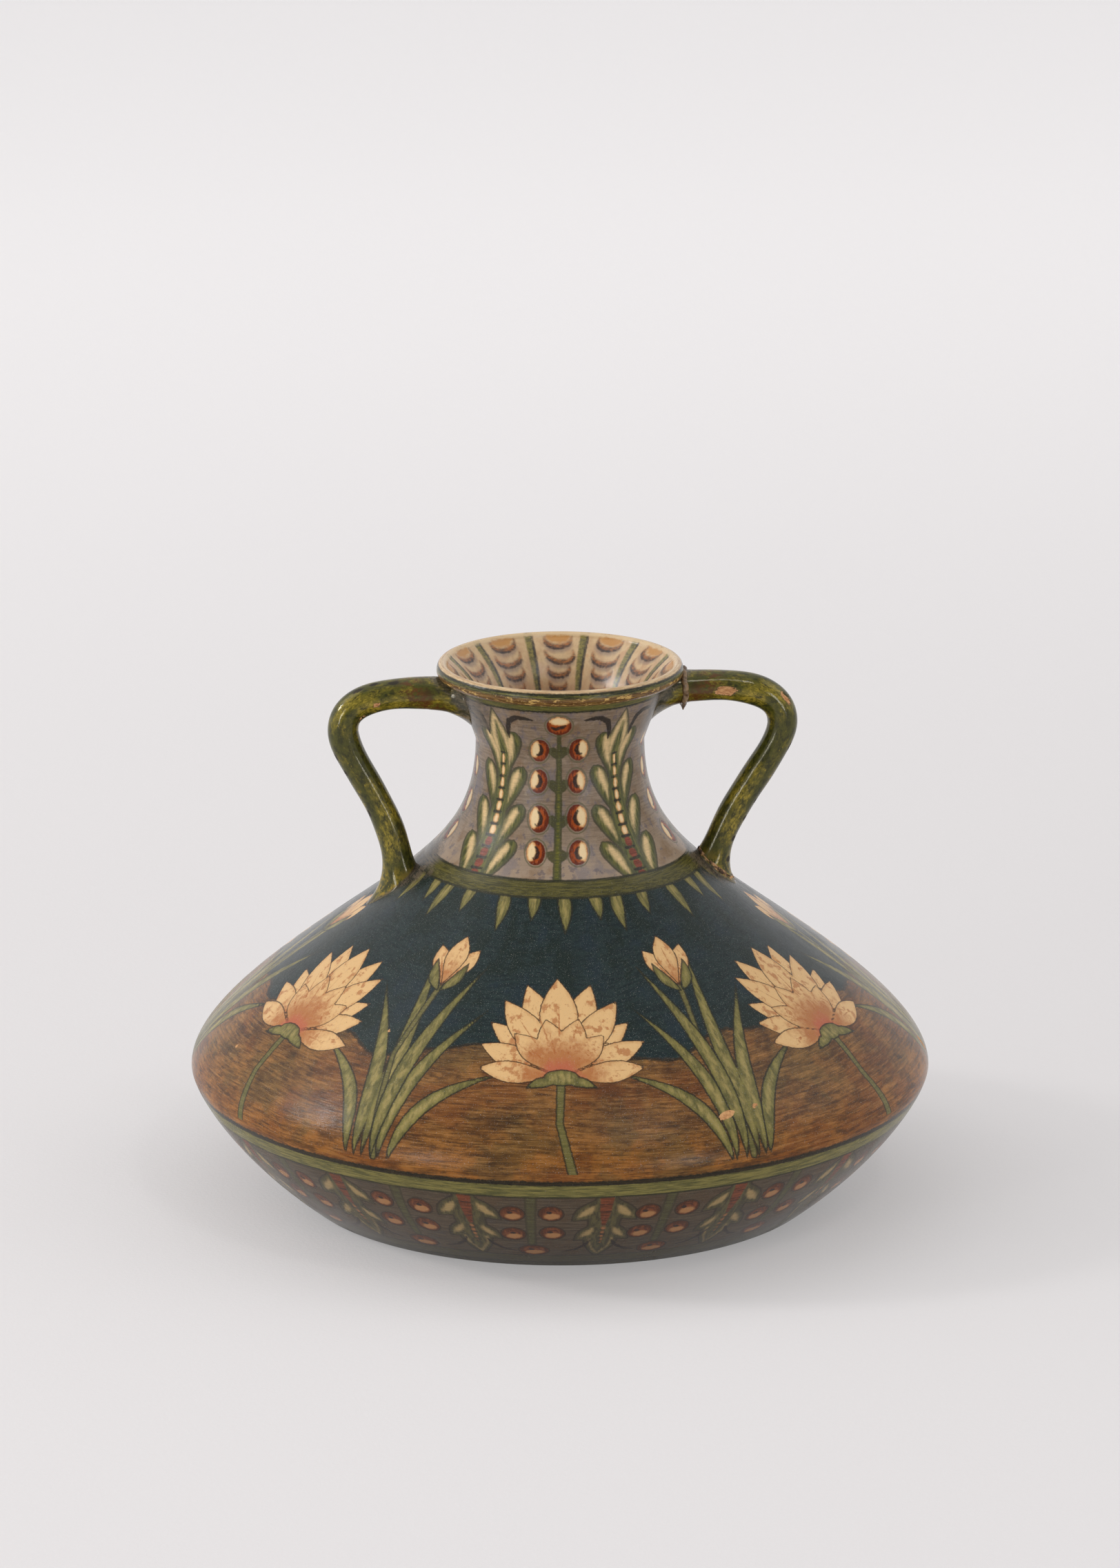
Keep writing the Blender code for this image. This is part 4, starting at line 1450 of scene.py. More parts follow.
@dataclass(frozen=True)
class OliveGlaze:
    """Glossy olive glaze of the handles: grey slip and brown by the joins, bare clay at chips."""

    name: str = "olive_glaze"

    def material(self) -> Material:
        """Yellow green mottled with dark green, then the joins, the dark spots and the chips.

        Returns:
            The material.
        """
        graph = Graph(self.name)
        rod = graph.attribute("rod")
        cloud = graph.noise(rod, (0.10, 0.16, 0.16), 3.0, 0.6)
        mottle = graph.noise(rod, (0.36, 0.48, 0.48), 4.0, 0.68)
        streak = graph.noise(rod, (0.8, 1.7, 1.7), 3.0, 0.7)
        grain = graph.noise(rod, 2.6, 2.0, 0.65)
        chip, join, flame = graph.read("wear")
        spot, share, _ = graph.read("spots")
        colour = graph.coats(
            (132, 118, 36), (cloud.rise(0.38, 0.60), (72, 72, 24)),
            (mottle.rise(0.47, 0.64) * 0.8, (36, 40, 15)),
            (streak.rise(0.48, 0.66) * 0.55, (40, 42, 16)),
            ((streak + cloud * 0.9).rise(0.90, 0.72) * 0.6, (180, 156, 58)),
            (grain.rise(0.56, 0.70) * 0.35, (32, 32, 16)),
            (flame * mottle.rise(0.42, 0.58) * 0.8, (98, 56, 24)),
            (share.rise(0.86, 0.95) * mottle.rise(0.52, 0.42) * 0.7, (168, 136, 44)))
        grey = (join + (mottle - 0.5) * 0.9).rise(0.45, 0.80)
        slip = graph.blend(streak.rise(0.38, 0.6), (104, 92, 76), (58, 56, 48))
        colour = graph.blend(grey * 0.85, colour, slip)
        dark = (spot + (grain - 0.5) * 0.8).rise(0.35, -0.15)
        colour = graph.blend(dark * 0.92, colour, (32, 25, 22))
        edge = chip + (grain - 0.5) * 0.8 + (mottle - 0.5) * 3.6
        colour = graph.blend(edge.size().rise(0.35, 0.1) * 0.7, colour, (50, 36, 20))
        bare = edge.rise(0.15, -0.15)
        clay = graph.blend(streak.rise(0.40, 0.62), BISCUIT, BISCUIT_DARK)
        colour = graph.blend(bare, colour, clay)
        rough = bare.rise(0.0, 1.0, 0.07, 0.8) + (mottle - 0.5) * 0.05 + dark * 0.55
        return graph.finish(colour, rough, mottle * 0.5 + grain * 0.25, 0.09, Specular_IOR_Level=0.46,
                            Specular_Tint=(1.0, 0.93, 0.76, 1.0))


@dataclass(frozen=True)
class Adhesive:
    """Old brown glue, half clear."""

    name: str = "old_glue"

    def material(self) -> Material:
        """Amber with darker clouds.

        Returns:
            The material.
        """
        graph = Graph(self.name)
        place = graph.position()
        cloud = graph.noise(place, 500.0, 3.0, 0.6)
        colour = graph.blend(cloud.rise(0.35, 0.65), (156, 126, 88), (96, 68, 42))
        return graph.finish(colour, 0.12, cloud, 0.2, Alpha=0.85)


@dataclass(frozen=True)
class BareClay:
    """Unglazed fired clay with grit, and with dirt in some places."""

    name: str = "bare_clay"
    dirt: Colour = BISCUIT_DARK
    scale: float = 90.0

    def material(self) -> Material:
        """Buff clay with a rosy cast, darker clouds and dark grit.

        Returns:
            The material.
        """
        graph = Graph(self.name)
        place = graph.position()
        cloud = graph.noise(place, self.scale, 4.0, 0.6)
        grit = graph.signal("ShaderNodeTexVoronoi", place, 0.0, 900.0)
        colour = graph.coats(
            BISCUIT, (cloud.rise(0.42, 0.58), self.dirt), (grit.rise(0.22, 0.1) * 0.5, (96, 66, 48)))
        return graph.finish(colour, 0.85, grit, 0.3)


# ---------------------------------------------------------------- meshes


def grid_faces(rows: int, columns: int, round_columns: bool = True, round_rows: bool = False) -> Array:
    """Quads between the rows and columns of a grid of points numbered row by row.

    Args:
        rows: How many rows of points.
        columns: How many points in a row.
        round_columns: Whether each row closes on itself.
        round_rows: Whether the last row joins the first.

    Returns:
        An array of four point numbers to a face.
    """
    i = np.arange(rows if round_rows else rows - 1)[:, None]
    j = np.arange(columns if round_columns else columns - 1)[None, :]
    below, above = i * columns, ((i + 1) % rows) * columns
    after = (j + 1) % columns
    return np.stack([below + j, below + after, above + after, above + j], axis=-1).reshape(-1, 4)


def make_mesh(name: str, points: Array, faces: Iterable[Sequence[int]], slots: Array | None = None,
              materials: Sequence[Material] = (), sharp: float = 35.0) -> Piece:
    """An object in metres from points in millimetres, smooth but with its sharp edges kept.

    Args:
        name: Name of the piece.
        points: Points in millimetres.
        faces: Point numbers of each face.
        slots: Material number of each face.
        materials: The materials.
        sharp: Angle in degrees over which an edge stays sharp.

    Returns:
        The object, linked to the scene.
    """
    mesh = bpy.data.meshes.new(name)
    mesh.from_pydata((points * MM).tolist(), [], [list(map(int, face)) for face in faces])
    for material in materials:
        mesh.materials.append(material)
    if slots is not None:
        mesh.polygons.foreach_set("material_index", slots.astype(np.int32))
    mesh.update()
    mesh.calc_loop_triangles()
    corners = np.zeros(len(mesh.loop_triangles) * 3, np.int32)
    mesh.loop_triangles.foreach_get("vertices", corners)
    first, second, third = (points[corners[k::3]] for k in range(3))
    if float(np.einsum("ij,ij->i", first, np.cross(second, third)).sum()) < 0:
        mesh.flip_normals()
    mesh.shade_smooth()
    mesh.set_sharp_from_angle(angle=math.radians(sharp))
    made = bpy.data.objects.new(name, mesh)
    bpy.context.scene.collection.objects.link(made)
    return made


def rod_mesh(name: str, points: Array, columns: int, material: Material) -> Piece:
    """A rod from a grid of points: quads round it, and one face over each end.

    Args:
        name: Name of the piece.
        points: Points in millimetres, ring by ring from end to end.
        columns: How many points a ring has.
        material: Its material.

    Returns:
        The object, linked to the scene.
    """
    count = len(points)
    faces = grid_faces(count // columns, columns).tolist()
    faces += [list(range(columns))[::-1], list(range(count - columns, count))]
    return make_mesh(name, points, faces, materials=[material])


def place(piece: Piece, slot: str, *nodes: str) -> None:
    """Let a piece ride on the vase and stand for CAD nodes.

    Args:
        piece: The piece.
        slot: Its material slot; not used.
        nodes: The nodes that it stands for.
    """
    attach(piece, BODY)
    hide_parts(*nodes)
    LOG.info("%s: %d faces, for %s", piece.name, len(piece.data.polygons), ", ".join(nodes))


@dataclass
class Stretch:
    """Part of a turned section's outline, with its arcs and its material number."""

    points: Array
    arcs: Array
    slot: int


@dataclass
class TurnedSection:
    """One thrown section of the vase: a solid of revolution with its painting."""

    name: str
    columns: int
    stretches: list[Stretch]
    materials: list[Material]
    attributes: tuple[str, ...]
    girth: float
    closed: bool = True

    def build(self, paintings: dict[int, type[Painting]], seed: int) -> Piece:
        """Turn the outline about the vase's axis, then paint.

        A point of row i and column j is (r sin a, -r cos a, z), where r and z are the outline's
        at i, and a is 360 degrees times j over the number of columns.

        Args:
            paintings: What is painted on the rows of each material number.
            seed: Seed of the small slips of the hand.

        Returns:
            The finished piece.
        """
        outline = np.vstack([stretch.points for stretch in self.stretches])
        slots = np.concatenate([np.full(len(s.points), s.slot) for s in self.stretches])
        arcs = np.concatenate([stretch.arcs for stretch in self.stretches])
        rows, columns = len(outline), self.columns
        turn = np.tile(np.linspace(0, 2 * math.pi, columns, endpoint=False), rows)
        radius, height, arc, row_slot = (np.repeat(values, columns)
                                         for values in (outline[:, 0], outline[:, 1], arcs, slots))
        faces = grid_faces(rows, columns, round_rows=self.closed).tolist()
        face_slots = np.repeat(slots if self.closed else slots[:-1], columns)
        if not self.closed:
            ring = np.arange(columns)
            after, top, pole = (ring + 1) % columns, (rows - 1) * columns, rows * columns
            faces += np.column_stack([np.full(columns, pole), after, ring]).tolist()
            faces += np.column_stack([np.full(columns, pole + 1), top + ring, top + after]).tolist()
            face_slots = np.concatenate([face_slots, np.full(columns, slots[0]), np.full(columns, slots[-1])])
            turn, radius = np.append(turn, [0, 0]), np.append(radius, [0, 0])
            height, arc = np.append(height, outline[[0, -1], 1]), np.append(arc, arcs[[0, -1]])
            row_slot = np.append(row_slot, slots[[0, -1]])
        points = np.column_stack([radius * np.sin(turn), -radius * np.cos(turn), height])
        made = make_mesh(self.name, points, faces, face_slots, self.materials)
        canvas = Canvas(turn, arc, radius, seed)
        for slot, painting in paintings.items():
            part = np.nonzero(row_slot == slot)[0]
            local = Canvas(turn[part], arc[part], radius[part], seed + slot)
            painting(local).paint()
            for paint in Paint:
                canvas.layers[paint][part] = local.layers[paint]
        canvas.store(made.data, self.attributes)
        wrap = np.column_stack([self.girth * np.sin(turn), -self.girth * np.cos(turn), arc])
        set_vector(made.data, "wrap", wrap)
        return made


@dataclass
class Vase:
    """The three thrown sections, joined under painted lines."""

    lower_seam: float = 42.0
    upper_seam: float = 112.0

    def __post_init__(self) -> None:
        """Make the materials that sections share, and find the seams on the inside."""
        self.bare = BareClay().material()
        self.inner = PlainGlaze("inner_glaze", (150, 130, 104), (118, 100, 78), 0.25).material()
        self.inner_low, self.inner_high = (float(np.interp(height, INSIDE[:, 1], INSIDE_ARC))
                                           for height in (self.lower_seam, self.upper_seam))

    def base(self) -> None:
        """Bowl and foot, painted with the berry and leaf border."""
        inner = np.linspace(0, self.inner_low, 14)
        outer = stations(0.0, arc_at(self.lower_seam), 0.75)[::-1]
        ring = OUTLINE.foot_radius - 8.0
        underside = np.array([[OUTLINE.foot_radius - 0.6, 0.0], [ring, 0.0], [ring - 1.0, 2.5], [4.0, 2.5]])
        tones = Palette(stem=(88, 84, 54), stem_edge=(64, 58, 42), leaf=(92, 84, 54),
                        leaf_dark=(68, 62, 44), leaf_edge=(54, 46, 36), heart=(166, 140, 94),
                        berry=(120, 68, 38), berry_dark=(78, 44, 26), halo=(44, 34, 26),
                        cream=(168, 120, 76), cream_shade=(128, 82, 50), red=(130, 70, 44),
                        gold=(74, 40, 28), ink=(46, 34, 30), halo_gap=0.15, softness=1.2)
        glaze = BorderGlaze(
            "base_painting", Wall.base_ground,
            (Band(-1.0, 3.4, (58, 50, 36), (78, 70, 48)),
             Band(3.4, 9.4, (88, 80, 56), (70, 62, 46), (52, 44, 34), 0.5),
             EDGE_GREEN, EDGE_LINE), tones, 0.19, 0.18, shine=0.16)
        section = TurnedSection(
            "painted_base", 1008,
            [Stretch(np.array([[4.0, OUTLINE.floor]]), np.array([0.0]), 1),
             Stretch(at_arcs(INSIDE, INSIDE_ARC, inner), inner, 1),
             Stretch(at_arcs(OUTSIDE, OUTSIDE_ARC, outer), outer, 0),
             Stretch(underside, np.array([-0.6, -8.0, -11.0, -80.0]), 2)],
            [glaze.material(), self.inner, self.bare], glaze.attributes, BODY_GIRTH, closed=False)
        made = section.build({0: BasePainting}, seed=11)
        place(made, "brown_glaze", "lower_body", "belly_slip_joint")

    def shoulder(self) -> None:
        """Shoulder, painted with the flower frieze."""
        outer = stations(arc_at(self.lower_seam), arc_at(self.upper_seam), 1.0)[::-1]
        inner = np.linspace(self.inner_low, self.inner_high, 12)
        tones = Palette(stem=(118, 108, 62), stem_edge=(44, 42, 28), leaf=(132, 122, 66),
                        leaf_dark=(92, 88, 48), leaf_edge=(36, 36, 24), heart=(172, 152, 94),
                        berry=(150, 106, 58), berry_dark=(112, 72, 36), halo=(36, 28, 20),
                        cream=(214, 180, 128), cream_shade=(196, 142, 88), red=(150, 84, 56),
                        gold=(120, 80, 42), ink=(36, 30, 22))
        glaze = FriezeGlaze("shoulder_painting", Wall.shoulder_ground, (EDGE_LINE, COLLAR), tones, 0.17, 0.5,
                            slip_width=31.0, shine=0.22)
        section = TurnedSection(
            "painted_shoulder", 832,
            [Stretch(at_arcs(OUTSIDE, OUTSIDE_ARC, outer), outer, 0),
             Stretch(at_arcs(INSIDE, INSIDE_ARC, inner), inner, 1)],
            [glaze.material(), self.inner], glaze.attributes, BODY_GIRTH)
        made = section.build({0: FriezePainting}, seed=23)
        place(made, "teal_glaze", "upper_body")

    def neck(self) -> None:
        """Neck and rolled rim, with the painted lining of the mouth."""
        start, end = arc_at(self.upper_seam), float(OUTSIDE_ARC[-1])
        outer = np.concatenate([stations(start, THROAT_ARC - 0.3, 0.62),
                                np.arange(THROAT_ARC, CREST_ARC, 0.3), [CREST_ARC]])[::-1]
        lip = LIP_ARC
        inner = np.concatenate([np.linspace(self.inner_high, lip - 44, 10)[:-1],
                                np.arange(lip - 44, lip, 0.6)])
        over = np.linspace(end, CREST_ARC, 8)[:-1]
        throat = THROAT_ARC
        glaze = BorderGlaze(
            "neck_painting", Wall.neck_ground,
            (COLLAR,
             Band(throat - 2.4, throat + 2.6, (108, 102, 44), (78, 76, 34), (32, 32, 20), 0.6, 0.5, 1.2),
             Band(throat + 2.2, throat + 7.4, (132, 98, 50), (84, 56, 28), None, 0.6, 0.6, 2.0,
                  (204, 166, 96)),
             Band(throat + 7.1, throat + 8.8, (112, 108, 50), (40, 42, 24), None, 0.6, 0.6, 2.0),
             Band(throat + 8.1, throat + 9.0, (28, 28, 19), (60, 58, 36), None, 0.6, 0.35, 1.6),
             Band(throat + 9.0, end + 3.0, (220, 192, 150), (184, 148, 108), None, 0.6, 0.3, 1.2)),
            Palette(), 0.14, 0.3, slip_width=12.5, root_arc=throat - 8.0)
        section = TurnedSection(
            "painted_neck", 416,
            [Stretch(at_arcs(OUTSIDE, OUTSIDE_ARC, outer), outer, 0),
             Stretch(at_arcs(INSIDE, INSIDE_ARC, inner), inner, 1),
             Stretch(at_arcs(OUTSIDE, OUTSIDE_ARC, over), lip + end - over, 1)],
            [glaze.material(), MouthGlaze().material()], glaze.attributes, NECK_GIRTH)
        made = section.build({0: NeckPainting, 1: MouthPainting}, seed=37)
        place(made, "taupe_glaze", "neck", "neck_slip_joint")


# ---------------------------------------------------------------- handles


@dataclass(frozen=True)
class NearWall:
    """Where points lie from the outside of the vase, in the plane through its axis."""

    gap: Array
    outward: Array
    foot: Array

    @classmethod
    def of(cls, points: Array) -> NearWall:
        """Signed distance, outward direction and nearest point on the wall or rim.

        Args:
            points: Points in millimetres.

        Returns:
            Where each point lies.
        """
        flank = OUTSIDE[OUTSIDE_ARC <= CREST_ARC][400::4]
        radius = np.hypot(points[:, 0], points[:, 1])
        place_at = np.column_stack([radius, points[:, 2]])
        nearest = np.empty(len(points), int)
        for start in range(0, len(points), 2000):
            part = place_at[start:start + 2000]
            apart = ((part[:, None, :] - flank[None]) ** 2).sum(axis=2)
            nearest[start:start + 2000] = np.argmin(apart, axis=1)
        way = np.gradient(flank, axis=0)
        way /= np.linalg.norm(way, axis=1)[:, None]
        normal = np.column_stack([way[:, 1], -way[:, 0]])[nearest]
        gap = ((place_at - flank[nearest]) * normal).sum(axis=1)
        round_to = points[:, :2] / np.maximum(radius, 1e-6)[:, None]
        outward = np.column_stack([round_to * normal[:, :1], normal[:, 1]])
        foot = np.column_stack([round_to * flank[nearest, :1], flank[nearest, 1]])
        return cls(gap, outward, foot)


@dataclass(frozen=True)
class HandleShape:
    """Sizes of one pulled handle, in millimetres, with side -1 for left and 1 for right."""

    side: int
    root_height: float
    root_pull: float
    reach: float
    reach_height: float
    arch_pull: float
    fall_pull: float
    landing_height: float
    landing_pull: float
    landing_lean: float
    tail: float
    thickness: float = 5.0
    foot_thickness: float = 4.5
    root_fillet: float = 4.6
    foot_fillet: float = 2.2

    def path(self) -> Array:
        """Centreline in its own plane, as (out, up), from the neck to under the shoulder.

        Returns:
            Points of the centreline.
        """
        start = np.array([42.0, self.root_height])
        outermost = np.array([self.reach, self.reach_height])
        landing = np.array([float(wall_radius(self.landing_height)), self.landing_height])
        fall = np.array([-self.landing_lean, -1.0]) / math.hypot(self.landing_lean, 1.0)
        sunk = landing + fall * 2.2
        arch = bezier(start, start + (self.root_pull, 0), outermost + (0, self.arch_pull), outermost, 60)
        drop = bezier(outermost, outermost - (0, self.fall_pull), sunk - fall * self.landing_pull, sunk, 90)
        inward = np.array([[25.5, self.root_height - 2.5], [31.0, self.root_height - 1.2],
                           [36.5, self.root_height - 0.3]])
        buried = sunk + fall * 6.0
        return np.vstack([inward, arch, drop[1:], [buried]])


@dataclass(frozen=True)
class Scar:
    """A chip or dark spot on a handle, at a share of its length and a turn round it."""

    share: float
    turn: float
    long: float
    wide: float


LEFT = HandleShape(side=-1, root_height=166.1, root_pull=1.0, reach=70.0, reach_height=154.6,
                   arch_pull=14.6, fall_pull=11.0, landing_height=104.0, landing_pull=23.6,
                   landing_lean=-0.16, tail=14.0)
RIGHT = HandleShape(side=1, root_height=166.6, root_pull=1.9, reach=72.1, reach_height=154.2,
                    arch_pull=15.5, fall_pull=10.6, landing_height=106.5, landing_pull=20.0,
                    landing_lean=0.02, tail=4.0)


@dataclass
class PulledHandle:
    """A handle: a round rod along its path, drawn out into fillets where it meets the wall."""

    shape: HandleShape
    chips: tuple[Scar, ...] = ()
    spots: tuple[Scar, ...] = ()
    rows: int = 260
    columns: int = 64

    @cached_property
    def surface(self) -> tuple[Array, Array, Array]:
        """Points of the whole rod on a grid, with the way and the turn of each.

        The point at way s and turn a is P(s) + R (N cos a + B sin a), where N lies in the
        handle's plane and B across it. Near the wall, at a distance d, each point moves away
        from the centreline by the fillet's width times exp(-d / 3.2), and downhill points of
        the foot move on down the shoulder by the tail times exp(-d / 1.5).

        Returns:
            Points, the share of the way along and the turn of each, ring by ring.
        """
        shape = self.shape
        path = shape.path()
        way = lengths(path)
        wanted = np.linspace(0, way[-1], self.rows)
        centre, ahead, behind = (np.column_stack([np.interp(wanted + step, way, path[:, k]) for k in (0, 1)])
                                 for step in (0.0, 0.8, -0.8))
        tangent = ahead - behind
        tangent /= np.linalg.norm(tangent, axis=1)[:, None]
        normal = np.column_stack([-tangent[:, 1], tangent[:, 0]])
        turn = np.linspace(0, 2 * math.pi, self.columns, endpoint=False)
        share = wanted / way[-1]
        radius = np.interp(share, [0, 0.3, 0.75, 1.0],
                           [shape.thickness] * 2 + [shape.foot_thickness + 0.1, shape.foot_thickness])
        radius = (radius + 0.10 * np.sin(share * 19.0 + shape.side) + 0.06 * np.sin(share * 43.0))[:, None]
        out = centre[:, None, 0] + radius * np.cos(turn)[None, :] * normal[:, None, 0]
        up = centre[:, None, 1] + radius * np.cos(turn)[None, :] * normal[:, None, 1]
        across = radius * np.sin(turn)[None, :] + 0 * out
        points = np.stack([shape.side * out, across, up], axis=-1).reshape(-1, 3)
        middle = np.stack([shape.side * np.repeat(centre[:, 0], self.columns), np.zeros(points.shape[0]),
                           np.repeat(centre[:, 1], self.columns)], axis=-1)
        share = np.repeat(share, self.columns)
        return self.meet_wall(points, middle, share), share, np.tile(turn, self.rows)

    @cached_property
    def gap(self) -> Array:
        """How far each point is outside the wall."""
        return NearWall.of(self.surface[0]).gap

    def meet_wall(self, points: Array, middle: Array, share: Array) -> Array:
        """Draw the rod out into its fillets and tail, and end it just under the surface.

        Each point slides along the wall, so that its distance from the wall stays, down to 1.5
        mm under the surface.

        Args:
            points: Points of the rod.
            middle: Centre of the rod beside each.
            share: How far along the rod each is.

        Returns:
            The moved points.
        """
        shape = self.shape
        near = NearWall.of(points)
        away = points - middle
        away /= np.maximum(np.linalg.norm(away, axis=1), 1e-6)[:, None]
        slide = away - (away * near.outward).sum(axis=1)[:, None] * near.outward
        slide /= np.maximum(np.linalg.norm(slide, axis=1), 0.3)[:, None]
        reach = np.exp(-np.maximum(near.gap, 0.0) / 3.4)
        fillet = np.where(share < 0.5, shape.root_fillet, shape.foot_fillet)
        fillet = fillet * (1.0 - 0.8 * np.clip(away[:, 2], 0, 1) * (share < 0.5))
        moved = points + slide * (fillet * reach)[:, None]
        downhill = np.array([shape.side * 0.78, 0.0, -0.63])
        facing = np.clip(away @ downhill, 0, 1) ** 3
        pull = np.where(share > 0.5, shape.tail * facing * np.exp(-np.maximum(near.gap, 0.0) / 1.5), 0.0)
        moved = moved + downhill[None] * pull[:, None]
        after = NearWall.of(moved)
        blend = np.clip((14.0 - near.gap) / 6.0, 0, 1)
        wanted = np.maximum(near.gap, -1.5)
        moved = moved + ((wanted - after.gap) * blend)[:, None] * after.outward
        again = NearWall.of(moved)
        deep = again.gap < -2.2
        moved[deep] = (again.foot - 1.5 * again.outward)[deep]
        return moved

    def between(self, points: Array, start: Array, end: Array) -> Array:
        """Grid rows spaced anew between a start and an end row number of each column.

        Args:
            points: Points of the grid, with any number of values.
            start: Row number in each column where the new rows start.
            end: Row number where they end.

        Returns:
            The new rows.
        """
        grid = points.reshape(self.rows, self.columns, -1)
        wanted = start + (end - start) * np.linspace(0, 1, self.rows)[:, None]
        row = np.clip(wanted.astype(int), 0, self.rows - 2)
        part = (wanted - row)[..., None]
        column = np.arange(self.columns)[None, :]
        mixed = grid[row, column] * (1 - part) + grid[row + 1, column] * part
        return mixed.reshape(self.rows * self.columns, -1)

    def crossing(self, values: Array, level: float, last: bool) -> Array:
        """Row number in each column where values cross a level, the first or the last time.

        Args:
            values: A value at each point.
            level: The level.
            last: Whether the last crossing counts.

        Returns:
            The row numbers, with fractions.
        """
        grid = values.reshape(self.rows, self.columns)
        above = grid > level
        row = self.rows - 1 - np.argmax(above[::-1], axis=0) if last else np.argmax(above, axis=0) - 1
        row, column = np.clip(row, 0, self.rows - 2), np.arange(self.columns)
        here, after = grid[row, column], grid[row + 1, column]
        return row + np.clip((level - here) / np.where(np.abs(after - here) < 1e-9, 1e-9, after - here), 0, 1)

    def sleeve(self, start: Array, end: Array, count: int) -> tuple[Array, Array, Array, Array]:
        """A short piece of the rod, with the directions away from its middle.

        Args:
            start: Row number in each column where it starts.
            end: Row number where it ends.
            count: About how many rings it has.

        Returns:
            Points and outward directions by ring and column, the way along from -1 to 1, and the turn.
        """
        ring = self.between(self.surface[0], start, end).reshape(self.rows, self.columns, 3)
        ring = ring[:: self.rows // count]
        away = ring - ring.mean(axis=1, keepdims=True)
        away = away / np.linalg.norm(away, axis=2, keepdims=True)
        turn = np.linspace(0, 2 * math.pi, self.columns, endpoint=False)[None, :]
        return ring, away, np.linspace(-1, 1, len(ring))[:, None], turn

    def scar_distance(self, share: Array, turn: Array, scars: Sequence[Scar], length: float) -> Array:
        """Distance to the edge of the nearest scar, less than 0 inside it.

        Args:
            share: How far along the rod each point is.
            turn: Its turn round the rod.
            scars: The scars.
            length: Length of the rod.

        Returns:
            The distance.
        """
        best = np.full(len(share), FAR)
        for scar in scars:
            angle = np.arctan2(np.sin(turn - scar.turn), np.cos(turn - scar.turn))
            along_it, across_it = (share - scar.share) * length, angle * self.shape.thickness
            size = np.hypot(along_it / scar.long, across_it / scar.wide)
            best = np.minimum(best, (size - 1) * min(scar.long, scar.wide))
        return best

    def piece(self, name: str, start: Array, end: Array, glaze: Material) -> Piece:
        """The rod between two row numbers of each column, closed at both ends.

        Args:
            name: Name of the piece.
            start: Row number in each column where it starts.
            end: Row number where it ends.
            glaze: Its material.

        Returns:
            The piece.
        """
        points, share, turn = self.surface
        gap = self.gap
        length = float(lengths(self.shape.path())[-1])
        chip = self.scar_distance(share, turn, self.chips, length)
        spot = self.scar_distance(share, turn, self.spots, length)
        rows = self.between(np.column_stack([points, chip, spot, gap, share]), start, end)
        points, chip, spot, gap, share = rows[:, :3], rows[:, 3], rows[:, 4], rows[:, 5], rows[:, 6]
        centre = points.reshape(self.rows, self.columns, 3).mean(axis=1).repeat(self.columns, axis=0)
        inward = centre - points
        inward /= np.maximum(np.linalg.norm(inward, axis=1), 1e-6)[:, None]
        points = points + inward * (0.55 * np.clip(-chip / 0.5, 0, 1))[:, None]
        made = rod_mesh(name, points, self.columns, glaze)
        grey = np.clip(1.0 - np.maximum(gap, 0) / np.where(share < 0.5, 7.5, 1.6), 0, 1)
        brown = np.exp(-((np.maximum(gap, 0) - 9.0) / 3.5) ** 2) * (share < 0.5)
        set_vector(made.data, "wear", np.column_stack([chip, grey, brown]))
        set_vector(made.data, "spots", np.column_stack([spot, share, np.zeros(len(spot))]))
        turn = np.tile(np.linspace(0, 2 * math.pi, self.columns, endpoint=False), self.rows)
        set_vector(made.data, "rod", np.column_stack([share * length, 5 * np.cos(turn), 5 * np.sin(turn)]))
        return made


